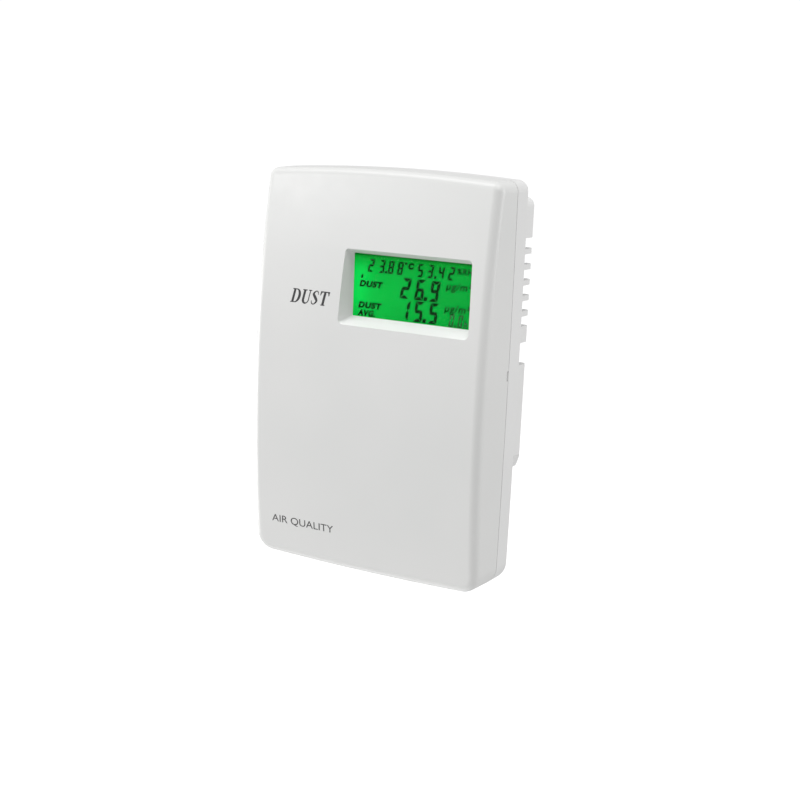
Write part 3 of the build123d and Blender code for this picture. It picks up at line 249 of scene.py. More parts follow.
def grain(tree, shader, height, depth):
    """Relief whose full height is depth, from a value between 0 and 1."""
    node = tree.nodes.new("ShaderNodeBump")
    node.inputs["Strength"].default_value = 1.0
    node.inputs["Distance"].default_value = depth
    tree.links.new(height, node.inputs["Height"])
    tree.links.new(node.outputs["Normal"], shader.inputs["Normal"])


def moulded(name, dark, light, roughness, texture=(2600.0, 0.006), coat=0.0, specular=0.5):
    """Moulded plastic or rubber: a faint mottle, uneven gloss and a fine spark-eroded grain."""
    material, tree, shader = new_material(name)
    mottle(tree, shader, dark, light, 60.0)
    vary_roughness(tree, shader, roughness, 350.0)
    scale, depth = texture
    grain(tree, shader, noise(tree, scale, 2.0), depth * MM)
    shader.inputs["Specular IOR Level"].default_value = specular
    shader.inputs["Coat Weight"].default_value = coat
    shader.inputs["Coat Roughness"].default_value = 0.2
    return material


def metal(name, dark, light, roughness, stretch=(1, 1, 1), texture=(900.0, 0.004)):
    """Metal with a patchy tone and a fine drawn or rolled grain along the unstretched axis."""
    material, tree, shader = new_material(name)
    mottle(tree, shader, dark, light, 220.0, 4.0, stretch)
    vary_roughness(tree, shader, roughness, 500.0, stretch)
    scale, depth = texture
    grain(tree, shader, noise(tree, scale, 3.0, stretch), depth * MM)
    shader.inputs["Metallic"].default_value = 1.0
    return material


# ================================================================= materials

# The sill is the upward face at the foot of the display window, which gets a painted highlight: how light it
# is painted, how far down it reaches from the window's foot, and how far that foot stands above the
# display's
SILL_HIGHLIGHT = (0.96, 0.96, 0.96)
SILL_REACH = 2.6
SILL_RISE = 0.8
# Painted shade: the colour the plastic darkens towards in its crevices, and how far the occlusion looks for
# them
CREVICE_SHADE_COLOUR = (0.5, 0.49, 0.46)
CREVICE_SHADE_REACH = 0.5
MASK_DARK = (0.006, 0.075, 0.028)
MASK_LIGHT = (0.01, 0.105, 0.038)


def painted_sill_highlight(tree):
    """Mask of the painted highlight: one on the upward face along the foot of the display window, and
    nothing elsewhere.
    """
    geometry = tree.nodes.new("ShaderNodeNewGeometry")
    normal = tree.nodes.new("ShaderNodeSeparateXYZ")
    tree.links.new(geometry.outputs["Normal"], normal.inputs["Vector"])
    place = tree.nodes.new("ShaderNodeSeparateXYZ")
    tree.links.new(object_space(tree), place.inputs["Vector"])
    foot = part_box("front_polariser")[0].z + SILL_RISE * MM
    bottom = (foot - SILL_REACH * MM, foot - (SILL_REACH - 0.3) * MM)
    above = remap(tree, place.outputs["Z"], bottom, (0, 1))
    below = remap(tree, place.outputs["Z"], (foot + 0.6 * MM, foot + 1.0 * MM), (1, 0))
    upward = remap(tree, normal.outputs["Z"], (0.5, 0.8), (0, 1))
    return multiply(tree, multiply(tree, above, below), upward)


def case_plastic(name, dark, light):
    """Off-white satin plastic with a fine spark-eroded grain, painted shade darkening its crevices, and a
    painted highlight on the window's sill.
    """
    material, tree, shader = new_material(name)
    tone = remap(tree, noise(tree, 25.0, 2.0), (0.3, 0.7), (0, 1))
    body = mix_colours(tree, tone, dark, light)
    # Painted highlight: the upward face at the foot of the window is painted lighter
    sill_highlighted = mix_colours(tree, painted_sill_highlight(tree), body, SILL_HIGHLIGHT)
    # Painted shade: ambient occlusion darkens the plastic in its crevices
    shelter = tree.nodes.new("ShaderNodeAmbientOcclusion")
    shelter.inputs["Distance"].default_value = CREVICE_SHADE_REACH * MM
    shelter.samples = 4
    crevice_darkening = remap(tree, shelter.outputs["AO"], (0.1, 0.5), (0.3, 0))
    colour = mix_colours(tree, crevice_darkening, sill_highlighted, CREVICE_SHADE_COLOUR)
    tree.links.new(colour, shader.inputs["Base Color"])
    vary_roughness(tree, shader, (0.3, 0.37), 300.0)
    grain(tree, shader, noise(tree, 2400.0, 2.0), 0.005 * MM)
    shader.inputs["Specular IOR Level"].default_value = 0.5
    return material


def zinc_sheet():
    """Zinc plated steel sheet with spangle and fine rolling lines."""
    material, tree, shader = new_material("steel")
    spangle = tree.nodes.new("ShaderNodeTexVoronoi")
    spangle.inputs["Scale"].default_value = 260.0
    tree.links.new(object_space(tree), spangle.inputs["Vector"])
    separate = tree.nodes.new("ShaderNodeSeparateColor")
    tree.links.new(spangle.outputs["Color"], separate.inputs["Color"])
    colour = mix_colours(tree, separate.outputs["Red"], (0.56, 0.57, 0.59), (0.62, 0.63, 0.65))
    tree.links.new(colour, shader.inputs["Base Color"])
    gloss = remap(tree, separate.outputs["Green"], (0, 1), (0.32, 0.4))
    tree.links.new(gloss, shader.inputs["Roughness"])
    grain(tree, shader, noise(tree, 900.0, 3.0, (1, 1, 0.05)), 0.004 * MM)
    shader.inputs["Metallic"].default_value = 1.0
    return material


def circuit_board():
    """Green solder mask over a faint glass weave."""
    material, tree, shader = new_material("circuit_board")
    mottle(tree, shader, MASK_DARK, MASK_LIGHT, 90.0)
    vary_roughness(tree, shader, (0.5, 0.62), 400.0)
    weave = tree.nodes.new("ShaderNodeTexWave")
    weave.inputs["Scale"].default_value = 320.0
    weave.inputs["Distortion"].default_value = 0.6
    tree.links.new(object_space(tree), weave.inputs["Vector"])
    grain(tree, shader, weave.outputs["Fac"], 0.004 * MM)
    shader.inputs["Specular IOR Level"].default_value = 0.25
    return material


def clear_sheet(name, tint, index):
    """Clear sheet with a faint uneven tint."""
    material, tree, shader = new_material(name)
    mottle(tree, shader, tuple(0.97 * value for value in tint), tint, 120.0)
    shader.inputs["Roughness"].default_value = 0.0
    shader.inputs["Transmission Weight"].default_value = 1.0
    shader.inputs["IOR"].default_value = index
    return material


# Green of the cell beside the lamps, then from near them to far, under the top where painted shade from the
# window's top wall darkens it, and at the top and right edges, darkened by the cell's own edge and by a
# painted shadow of the window's walls
GLOW_LAMPS = (0.002, 0.66, 0.08)
GLOW_NEAR = (0.002, 0.45, 0.05)
GLOW_FAR = (0.002, 0.29, 0.033)
GLOW_UNDER_TOP_SHADE = (0.002, 0.24, 0.015)
GLOW_EDGE_AND_SHADOW = (0.001, 0.05, 0.003)
# Where each change starts and ends, in millimetres: from the left end, the right end, the middle's
# height and the top of the light guide
LAMP_REACH = (2.4, 10.4)
FAR_END = -6.0
LAMPS_FOOT = (-9.5, -4.0)
LAMPS_HEAD = (4.0, 10.5)
TOP_SHADE = (-9.0, -2.5)
TOP_RIM_SHADOW = (-4.0, -3.2)
RIGHT_RIM_SHADOW = (-3.6, -2.9)


def span(origin, reach):
    """Two places at distances in millimetres from an origin in metres."""
    return tuple(origin + distance * MM for distance in reach)


def backlit_cell():
    """Back of the display cell, lit in green from the lamps along its left end, with painted shade under the
    window's top and, along its top and right edges, the cell's own darker edge together with a painted
    shadow of the window's walls.
    """
    material, tree, shader = new_material("backlit_cell")
    low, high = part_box("light_guide")
    middle = (low.z + high.z) / 2
    axes = tree.nodes.new("ShaderNodeSeparateXYZ")
    tree.links.new(object_space(tree), axes.inputs["Vector"])
    x, z = axes.outputs["X"], axes.outputs["Z"]
    beside_lamps = span(low.x, LAMP_REACH)
    far = remap(tree, x, (beside_lamps[0], high.x + FAR_END * MM), (0, 1))
    even = mix_colours(tree, far, GLOW_NEAR, GLOW_FAR)
    beside = remap(tree, x, beside_lamps, (1, 0), smooth=True)
    foot = remap(tree, z, span(middle, LAMPS_FOOT), (0.25, 1), smooth=True)
    head = remap(tree, z, span(middle, LAMPS_HEAD), (1, 0.3), smooth=True)
    lamps = multiply(tree, multiply(tree, beside, foot), head)
    lit = mix_colours(tree, lamps, even, GLOW_LAMPS)
    # Painted shade: the cell darkens under the window's top wall
    top_shade = remap(tree, z, span(high.z, TOP_SHADE), (0, 0.85), smooth=True)
    shaded = mix_colours(tree, top_shade, lit, GLOW_UNDER_TOP_SHADE)
    # Painted shadow of the window's walls along the top and right edges, together with the darker edge of
    # the cell itself
    top_rim_shadow = remap(tree, z, span(high.z, TOP_RIM_SHADOW), (0, 0.85), smooth=True)
    rim_shadowed = mix_colours(tree, top_rim_shadow, shaded, GLOW_EDGE_AND_SHADOW)
    right_rim_shadow = remap(tree, x, span(high.x, RIGHT_RIM_SHADOW), (0, 0.8), smooth=True)
    glow = mix_colours(tree, right_rim_shadow, rim_shadowed, GLOW_EDGE_AND_SHADOW)
    tree.links.new(glow, shader.inputs["Emission Color"])
    shader.inputs["Emission Strength"].default_value = 1.0
    mottle(tree, shader, (0.0, 0.13, 0.015), (0.0, 0.15, 0.02), 400.0)
    shader.inputs["Roughness"].default_value = 0.6
    shader.inputs["Specular IOR Level"].default_value = 0.02
    return material


def contact_rubber():
    """Layered elastomer: carbon and silicone layers in turn along its length."""
    material, tree, shader = new_material("strip_rubber")
    layers = tree.nodes.new("ShaderNodeTexWave")
    layers.inputs["Scale"].default_value = 900.0
    tree.links.new(object_space(tree), layers.inputs["Vector"])
    colour = mix_colours(tree, layers.outputs["Fac"], (0.02, 0.02, 0.02), (0.3, 0.29, 0.27))
    tree.links.new(colour, shader.inputs["Base Color"])
    shader.inputs["Roughness"].default_value = 0.6
    return material


INK_GLOW = 0.6


def printed(name, dark, light, glow=(0, 0, 0), specular=0.5):
    """Ink: matt, with slightly uneven cover. Over the lit cell it lets some of its glow through."""
    material, tree, shader = new_material(name)
    mottle(tree, shader, dark, light, 1500.0)
    vary_roughness(tree, shader, (0.5, 0.65), 900.0)
    shader.inputs["Specular IOR Level"].default_value = specular
    shader.inputs["Emission Color"].default_value = (*glow, 1)
    shader.inputs["Emission Strength"].default_value = INK_GLOW if any(glow) else 0.0
    return material


def make_materials():
    """One material for each of the record's slots."""
    black = (0.014, 0.014, 0.016), (0.022, 0.022, 0.024)
    white = (0.66, 0.64, 0.56), (0.72, 0.7, 0.62)
    green = (0.012, 0.13, 0.035), (0.018, 0.17, 0.05)
    guide = (0.3, 0.75, 0.36), (0.38, 0.85, 0.45)
    foam = (0.01, 0.01, 0.01), (0.05, 0.05, 0.05)
    return {
        "case_plastic": case_plastic("case_plastic", (0.785, 0.79, 0.78), (0.815, 0.815, 0.805)),
        "steel": zinc_sheet(),
        "screw_steel": metal("screw_steel", (0.34, 0.34, 0.35), (0.5, 0.5, 0.51), (0.25, 0.4)),
        "circuit_board": circuit_board(),
        "chip_black": moulded("chip_black", *black, (0.5, 0.62)),
        "can_metal": metal("can_metal", (0.58, 0.59, 0.6), (0.72, 0.72, 0.73), (0.22, 0.34), (1, 0.1, 1)),
        "ceramic": moulded("ceramic", (0.2, 0.13, 0.08), (0.27, 0.18, 0.11), (0.35, 0.5)),
        "connector_white": moulded("connector_white", *white, (0.35, 0.45)),
        "connector_green": moulded("connector_green", *green, (0.32, 0.42)),
        "pin_metal": metal("pin_metal", (0.62, 0.5, 0.26), (0.78, 0.66, 0.38), (0.18, 0.3)),
        "button_black": moulded("button_black", (0.012, 0.012, 0.013), (0.02, 0.02, 0.021), (0.4, 0.5)),
        "film": clear_sheet("film", (0.93, 0.98, 0.94), 1.1),
        "glass": clear_sheet("glass", (0.95, 0.99, 0.96), 1.06),
        "light_guide": moulded("light_guide", *guide, (0.2, 0.3), coat=0.5),
        "led": moulded("led", (0.3, 0.75, 0.4), (0.4, 0.85, 0.5), (0.15, 0.25), coat=0.8),
        "strip_rubber": contact_rubber(),
        "frame_white": moulded("frame_white", (0.6, 0.6, 0.58), (0.66, 0.66, 0.64), (0.4, 0.5)),
        "sensor_shell": moulded("sensor_shell", (0.02, 0.07, 0.22), (0.03, 0.09, 0.27), (0.4, 0.5)),
        "fan_black": moulded("fan_black", (0.015, 0.015, 0.017), (0.024, 0.024, 0.026), (0.42, 0.55)),
        "laser_brass": metal("laser_brass", (0.5, 0.33, 0.12), (0.68, 0.47, 0.2), (0.2, 0.32), (0.15, 1, 1)),
        "foam": moulded("foam", *foam, (0.8, 0.95), (2200.0, 0.12), specular=0.2),
        "wire_sheath": moulded("wire_sheath", (0.3, 0.015, 0.012), (0.38, 0.025, 0.02), (0.35, 0.45)),
    }


make_camera()
make_world()
make_floor()
for light in LIGHTS:
    add_light(*light)
SCENE.view_settings.view_transform = "Standard"

MATERIALS = make_materials()
for part in frame["record"]["subparts"]:
    slots = NODES[part["node"]].data.materials
    slots.clear()
    slots.append(MATERIALS[part["material_slot"]])
# Painted light: the rear cover gets a lighter copy of the case plastic, standing in for the brighter light
# on its rim
LIT_REAR_PLASTIC = case_plastic("rear_plastic_painted_lighter", (0.83, 0.83, 0.825), (0.86, 0.86, 0.855))
NODES["rear_cover"].data.materials[0] = LIT_REAR_PLASTIC
CELL = backlit_cell()
NODES["rear_glass"].data.materials[0] = CELL
NODES["rear_glass"].visible_diffuse = False


# ============================================================ piece building


def add_piece(name, mesh, body, material):
    """Object with flat faces that rides on a body and takes the material it is given."""
    mesh.materials.clear()
    mesh.materials.append(material)
    mesh.shade_flat()
    piece = bpy.data.objects.new(name, mesh)
    SCENE.collection.objects.link(piece)
    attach(piece, body)
    return piece


def mesh_from_curve_data(data, name):
    """Mesh of a curve or text datablock."""
    carrier = bpy.data.objects.new(name, data)
    SCENE.collection.objects.link(carrier)
    bpy.context.view_layer.update()
    graph = bpy.context.evaluated_depsgraph_get()
    mesh = bpy.data.meshes.new_from_object(carrier.evaluated_get(graph))
    bpy.data.objects.remove(carrier)
    return mesh


def join_meshes(name, meshes):
    """One mesh that holds several."""
    builder = bmesh.new()
    for mesh in meshes:
        builder.from_mesh(mesh)
    joined = bpy.data.meshes.new(name)
    builder.to_mesh(joined)
    builder.free()
    return joined


def flat_mesh(name, outlines, thickness):
    """Sheet in the XY plane from closed outlines in metres. An outline inside another is a hole."""
    data = bpy.data.curves.new(name, "CURVE")
    data.dimensions = "2D"
    data.fill_mode = "BOTH"
    data.extrude = thickness / 2
    for outline in outlines:
        spline = data.splines.new("POLY")
        spline.points.add(len(outline) - 1)
        for point, (x, y) in zip(spline.points, outline):
            point.co = (x, y, 0, 1)
        spline.use_cyclic_u = True
    return mesh_from_curve_data(data, name)


def text_mesh(words, left, base, size, slant=0.0, bold=0.0, spacing=1.0, thickness=0.02):
    """Lettering in the XY plane, in millimetres: size is the width and height of its ink."""
    data = bpy.data.curves.new(words, "FONT")
    data.body = words
    data.space_character = spacing
    data.offset = bold
    data.fill_mode = "BOTH"
    mesh = mesh_from_curve_data(data, words)
    xs = [v.co.x for v in mesh.vertices]
    ys = [v.co.y for v in mesh.vertices]
    stretch_x = size[0] * MM / (max(xs) - min(xs))
    stretch_y = size[1] * MM / (max(ys) - min(ys))
    for vertex in mesh.vertices:
        x = (vertex.co.x - min(xs)) * stretch_x
        y = (vertex.co.y - min(ys)) * stretch_y
        vertex.co = (left * MM + x + slant * y, base * MM + y, 0)
    builder = bmesh.new()
    builder.from_mesh(mesh)
    sheet = bmesh.ops.extrude_face_region(builder, geom=builder.faces[:])
    raised = [item for item in sheet["geom"] if isinstance(item, bmesh.types.BMVert)]
    bmesh.ops.translate(builder, verts=raised, vec=(0, 0, thickness * MM))
    bmesh.ops.recalc_face_normals(builder, faces=builder.faces[:])
    builder.to_mesh(mesh)
    builder.free()
    return mesh


def stand_up(mesh, depth_at):
    """Turns a sheet drawn in XY to face the room, as deep at each z as depth_at says."""
    for vertex in mesh.vertices:
        x, z, height = vertex.co
        vertex.co = (x, -depth_at(z) - height, z)
    mesh.flip_normals()


# =================================================================== display

CELL_GAP = 0.06
GROUND_EDGE = 0.08
INK_THICKNESS = 0.02
INK_CLEARANCE = 0.015
SLANT = 0.16
# Which strokes each figure lights: a is the top, b to f go round clockwise, g is the middle
STROKES = {
    "0": "abcdef", "1": "bc", "2": "abged", "3": "abgcd", "4": "fgbc",
    "5": "afgcd", "6": "afgedc", "8": "abcdefg", "9": "abcdfg",
}


def stroke_outline(stroke, width, height, weight, gap):
    """Outline of one stroke of a seven-stroke figure whose corner is at the origin."""
    half = height / 2
    if stroke == "g":
        right = [(width - gap - weight / 2, half + weight / 2), (width - gap, half)]
        right.append((width - gap - weight / 2, half - weight / 2))
        return right + [(width - x, height - y) for x, y in right]
    if stroke in "ad":
        outline = [(gap, height), (width - gap, height)]
        outline += [(width - gap - weight, height - weight), (gap + weight, height - weight)]
        return outline if stroke == "a" else [(x, height - y) for x, y in outline]
    foot = half + weight / 2 + gap
    outline = [(width, height - gap), (width, foot), (width - weight / 2, half + gap)]
    outline += [(width - weight, foot), (width - weight, height - weight - gap)]
    if stroke in "ce":
        outline = [(x, height - y) for x, y in outline]
    if stroke in "ef":
        outline = [(width - x, y) for x, y in outline]
    return outline


def figures(signs, base, size, weight):
    """Outlines, in metres, of slanted figures and points given by sign and left edge in millimetres."""
    width, height = size
    outlines = []
    for sign, start in signs:
        if sign == ".":
            reach = weight * 0.6
            corners = ((-1, -1), (1, -1), (1, 1), (-1, 1))
            shapes = [[(dx * reach, reach + dy * reach) for dx, dy in corners]]
        else:
            gap = weight * 0.1
            shapes = [stroke_outline(stroke, width, height, weight, gap) for stroke in STROKES[sign]]
        outlines += [slanted(shape, start, base) for shape in shapes]
    return outlines


def slanted(shape, start, base):
    """Shape in millimetres slanted, moved to its place and turned into metres."""
    return [((start + x + SLANT * y) * MM, (base + y) * MM) for x, y in shape]


# Width and height of the figures, and each figure's sign and left edge, in millimetres
SMALL_FIGURE = (2.0, 4.15)
LARGE_FIGURE = (3.15, 6.5)
TIMER_FIGURE = (1.6, 3.95)
TEMPERATURE = (("2", -3.8), ("3", 0.1), (".", 2.8), ("8", 3.4), ("8", 6.7))
HUMIDITY = (("5", 13.8), ("3", 17.3), (".", 20.3), ("4", 21.1), ("2", 24.6))
DUST_NOW = (("2", 8.1), ("6", 13.2), (".", 17.2), ("9", 18.3))
DUST_MEAN = (("1", 8.1), ("5", 13.0), (".", 17.1), ("5", 18.2))
TIMER = (("0", 25.6), (".", 27.9), ("0", 28.6))
TIMER_BASE = 18.75
# Figures, the height of their foot, their size and the weight of their strokes
ROWS = (
    (TEMPERATURE + HUMIDITY, 32.9, SMALL_FIGURE, 0.68),
    (DUST_NOW, 25.7, LARGE_FIGURE, 1.05),
    (DUST_MEAN, 18.9, LARGE_FIGURE, 1.05),
)
MARK = ((0, 0), (0.6, 0), (0.75, 1.2), (0, 1.2))
MARK_PLACE = (-6.1, 30.7)
LABEL_SLANT = SLANT * 1.5
UNIT_SLANT = SLANT * 1.3
# Words, left edge, foot, width and height, slant, boldness and letter spacing
WORDS = (
    ("°", 9.5, 36.2, (0.9, 0.9), SLANT, 0.05),
    ("C", 10.6, 34.9, (2.0, 2.1), SLANT, 0.08),
    ("%RH", 27.6, 34.9, (5.3, 2.0), SLANT, 0.03, 1.15),
    ("DUST", -6.6, 28.0, (8.2, 2.1), LABEL_SLANT, 0.065, 1.15),
    ("µg/m³", 24.1, 29.2, (8.4, 3.2), UNIT_SLANT, 0.02, 1.1),
    ("DUST", -6.8, 21.25, (8.2, 2.1), LABEL_SLANT, 0.065, 1.15),
    ("AVG.", -7.0, 18.7, (6.5, 2.1), LABEL_SLANT, 0.065, 1.15),
    ("µg/m³", 23.9, 22.4, (8.4, 3.2), UNIT_SLANT, 0.02, 1.1),
)
TIMER_WORD = ("h", 30.8, TIMER_BASE, (1.1, 2.6), SLANT, 0.02)


def add_display_piece(name, outlines, words, ink):
    """Figures and words in the thin layer between the two glasses of the display."""
    depth = -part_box("rear_glass")[0].y + INK_CLEARANCE * MM
    shapes = [flat_mesh("figures", [outline], INK_THICKNESS * MM) for outline in outlines]
    mesh = join_meshes(name, [*shapes, *(text_mesh(*word) for word in words)])
    stand_up(mesh, lambda z: depth)
    add_piece(name, mesh, "housing", ink)


def make_segments():
    """The dark shapes that the display shows, with a fainter timer in its corner."""
    strong = [outline for row in ROWS for outline in figures(*row)]
    strong.append(slanted(MARK, *MARK_PLACE))
    dark = printed("display_dark", (0.0, 0.012, 0.002), (0.0, 0.016, 0.003), (0, 0.03, 0.004), 0.1)
    add_display_piece("display_figures", strong, WORDS, dark)
    faint = printed("display_faint", (0.0, 0.03, 0.005), (0.0, 0.04, 0.006), (0, 0.06, 0.007))
    timer = figures(TIMER, TIMER_BASE, TIMER_FIGURE, 0.55)
    add_display_piece("display_timer", timer, [TIMER_WORD], faint)


def slab(name, low, high, edge):
    """Box between two corners with bevelled edges."""
    builder = bmesh.new()
    bmesh.ops.create_cube(builder, size=1.0)
    for vertex in builder.verts:
        vertex.co = [low[i] if vertex.co[i] < 0 else high[i] for i in range(3)]
    bmesh.ops.bevel(builder, geom=builder.edges[:], offset=edge, segments=2, affect="EDGES", profile=0.5)
    mesh = bpy.data.meshes.new(name)
    builder.to_mesh(mesh)
    builder.free()
    return mesh


def make_front_glass():
    """Front glass with ground edges, standing off the rear glass by the liquid crystal layer."""
    low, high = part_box("front_glass")
    low.y += 0.01 * MM
    high.y -= CELL_GAP * MM
    mesh = slab("front_glass_ground", low, high, GROUND_EDGE * MM)
    piece = add_piece("front_glass_ground", mesh, "housing", MATERIALS["glass"])
    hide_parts("front_glass")


make_segments()
make_front_glass()


# ============================================================== cover prints

BOW_RADIUS = 415.0 * MM
BOW_CENTRE_Z = -8.0 * MM
BOW_DEPTH = -CAD_BOUNDS[0][1]
PRINT_THICKNESS = 0.03


def cover_depth(z):
    """Depth of the cover's bowed front at a height."""
    return BOW_DEPTH - BOW_RADIUS + math.sqrt(BOW_RADIUS**2 - (z - BOW_CENTRE_Z) ** 2)


def arc(centre, radii, start, end, steps=14):
    """Points along an elliptic arc, from one angle to another in degrees."""
    points = []
    for step in range(steps + 1):
        angle = math.radians(start + (end - start) * step / steps)
        points.append((centre[0] + radii[0] * math.cos(angle), centre[1] + radii[1] * math.sin(angle)))
    return points


def brush(centres, widths, steps=8):
    """Outline of a stroke through its centres, whose half width changes smoothly along it."""
    path = []
    for index in range(len(centres) - 1):
        before, after = centres[max(index - 1, 0)], centres[min(index + 2, len(centres) - 1)]
        start, end = centres[index], centres[index + 1]
        for step in range(steps):
            t = step / steps
            blend = (
                (-t + 2 * t**2 - t**3) / 2,
                (2 - 5 * t**2 + 3 * t**3) / 2,
                (t + 4 * t**2 - 3 * t**3) / 2,
                (t**3 - t**2) / 2,
            )
            point = [sum(b * p[axis] for b, p in zip(blend, (before, start, end, after))) for axis in (0, 1)]
            path.append((point[0], point[1], widths[index] * (1 - t) + widths[index + 1] * t))
    path.append((*centres[-1], widths[-1]))
    left, right = [], []
    for index, (x, y, width) in enumerate(path):
        ahead, behind = path[min(index + 1, len(path) - 1)], path[max(index - 1, 0)]
        along = Vector((ahead[0] - behind[0], ahead[1] - behind[1])).normalized()
        left.append((x - along.y * width, y + along.x * width))
        right.append((x + along.y * width, y - along.x * width))
    return left + right[::-1]


def letter_d():
    """Outlines of a serif D a unit high: its body and its hole."""
    bowl = arc((0.38, 0.5), (0.42, 0.5), -90, 90)
    body = [(0, 0), *bowl, (0, 1), (0, 0.95), (0.1, 0.92), (0.1, 0.08), (0, 0.05)]
    hole = [(0.29, 0.07), *arc((0.36, 0.5), (0.22, 0.43), -90, 90), (0.29, 0.93)]
    return [body, hole]


def letter_u():
    """Outline of a serif U a unit high, with a thick left stem and a thin right one."""
    outer = arc((0.4, 0.29), (0.3, 0.31), 180, 360)
    inner = arc((0.455, 0.3), (0.165, 0.22), 0, -180)
    left_serif = [(0, 1), (0, 0.95), (0.1, 0.92)]
    right_serif = [(0.7, 0.92), (0.8, 0.95), (0.8, 1), (0.5, 1), (0.5, 0.95), (0.62, 0.92)]
    return [[*left_serif, *outer, *right_serif, *inner, (0.29, 0.92), (0.4, 0.95), (0.4, 1)]]


def letter_s():
    """Outline of a serif S a unit high, as one stroke that swells along its spine."""
    upper = [(0.53, 0.73), (0.47, 0.9), (0.3, 0.965), (0.12, 0.76), (0.31, 0.52)]
    lower = [(0.49, 0.27), (0.3, 0.035), (0.11, 0.1), (0.05, 0.27)]
    return [brush(upper + lower, [0.02, 0.035, 0.035, 0.085, 0.1, 0.085, 0.035, 0.035, 0.02])]


def letter_t():
    """Outline of a serif T a unit high, mirrored about its stem."""
    foot = [(0.4, 0), (0.58, 0), (0.58, 0.05), (0.5, 0.08), (0.5, 0.93)]
    half = [*foot, (0.64, 0.92), (0.74, 0.7), (0.79, 0.7), (0.79, 1)]
    return [[*half, *[(0.8 - x, y) for x, y in half[:0:-1]]]]


# Left edge and foot of each print, its width and height, and the heading's slant
HEADING_PLACE = (-28.7, 21.4)
HEADING_SIZE = (14.2, 4.5)
HEADING_SLANT = 0.22
LINE_PLACE = (-34.4, -53.3)
LINE_SIZE = (24.0, 2.9)


def heading_sheets():
    """One flat sheet for each letter of the heading, set side by side."""
    letters = [(letter_d(), 0.88), (letter_u(), 0.88), (letter_s(), 0.68), (letter_t(), 0.85)]
    left, base = HEADING_PLACE
    tall = HEADING_SIZE[1]
    wide = HEADING_SIZE[0] / sum(advance for _, advance in letters)
    sheets = []
    start = 0.0
    for outlines, advance in letters:
        placed = []
        for outline in outlines:
            slanting = [((start + x) * wide + HEADING_SLANT * y * tall, y * tall) for x, y in outline]
            placed.append([((left + x) * MM, (base + y) * MM) for x, y in slanting])
        sheets.append(flat_mesh("letter", placed, PRINT_THICKNESS * MM))
        start += advance
    return sheets


def make_cover_prints():
    """Two lines of ink on the cover, a slanted serif heading and a plain line low down."""
    ink = printed("print_ink", (0.03, 0.03, 0.032), (0.045, 0.045, 0.047))
    heading = join_meshes("cover_heading", heading_sheets())
    stand_up(heading, cover_depth)
    add_piece("cover_heading", heading, "front_cover", ink)
    line = text_mesh("AIR QUALITY", *LINE_PLACE, LINE_SIZE, 0.0, -0.005, thickness=PRINT_THICKNESS)
    stand_up(line, cover_depth)
    add_piece("cover_line", line, "front_cover", ink)


make_cover_prints()


# ============================================================== board detail

BOARD_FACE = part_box("main_board")[0].y
COPPER_RISE = 0.035 * MM
SILK_RISE = 0.02 * MM
HOLE_RISE = COPPER_RISE * 1.3
OUT = Vector((0, -1, 0))


class Store:
    """Vertices and faces of many small shapes that end up in one mesh."""

    def __init__(self):
        self.vertices = []
        self.faces = []

    def beam(self, stations, closed=False):
        """Square-edged bar through rings of four corners, closed on itself or with flat ends."""
        start = len(self.vertices)
        count = len(stations)
        for station in stations:
            self.vertices.extend(station)
        for index in range(count if closed else count - 1):
            here, there = start + 4 * index, start + 4 * ((index + 1) % count)
            for side in range(4):
                following = (side + 1) % 4
                self.faces.append((here + side, here + following, there + following, there + side))
        if not closed:
            self.faces.append(tuple(range(start, start + 4)))
            self.faces.append(tuple(range(start + 4 * count - 4, start + 4 * count)))

    def box(self, low, high):
        """Upright block between two corners."""
        ring = ((low.y, low.z), (high.y, low.z), (high.y, high.z), (low.y, high.z))
        self.beam([[Vector((x, y, z)) for y, z in ring] for x in (low.x, high.x)])

    def line(self, points, width, rise):
        """Flat mitred line on the board, through points of x and z, standing off its face by rise."""
        stations = []
        for index, point in enumerate(points):
            before, after = points[max(index - 1, 0)], points[min(index + 1, len(points) - 1)]
            into = Vector((point[0] - before[0], point[1] - before[1]))
            out_of = Vector((after[0] - point[0], after[1] - point[1]))
            into = into.normalized() if into.length else out_of.normalized()
            out_of = out_of.normalized() if out_of.length else into
            along = (into + out_of).normalized()
            half = width / 2 / max(along.dot(into), 0.5)
            shift = Vector((-along.y, along.x)) * half
            left = Vector((point[0] + shift.x, BOARD_FACE, point[1] + shift.y))
            right = Vector((point[0] - shift.x, BOARD_FACE, point[1] - shift.y))
            stations.append([left, left + OUT * rise, right + OUT * rise, right])
        self.beam(stations)

    def ring(self, centre, radii, rise, steps=16):
        """Flat ring on the board between two radii, standing off its face by rise."""
        stations = []
        for step in range(steps):
            angle = 2 * math.pi * step / steps
            arm = Vector((math.cos(angle), 0, math.sin(angle)))
            inner = Vector((centre[0], BOARD_FACE, centre[1])) + arm * radii[0]
            outer = inner + arm * (radii[1] - radii[0])
            stations.append([inner, inner + OUT * rise, outer + OUT * rise, outer])
        self.beam(stations, closed=True)

    def piece(self, name, slot, material):
        """Everything stored so far as one piece of the housing."""
        mesh = bpy.data.meshes.new(name)
        mesh.from_pydata(self.vertices, [], self.faces)
        builder = bmesh.new()
        builder.from_mesh(mesh)
        bmesh.ops.recalc_face_normals(builder, faces=builder.faces[:])
        builder.to_mesh(mesh)
        builder.free()
        add_piece(name, mesh, "housing", material)


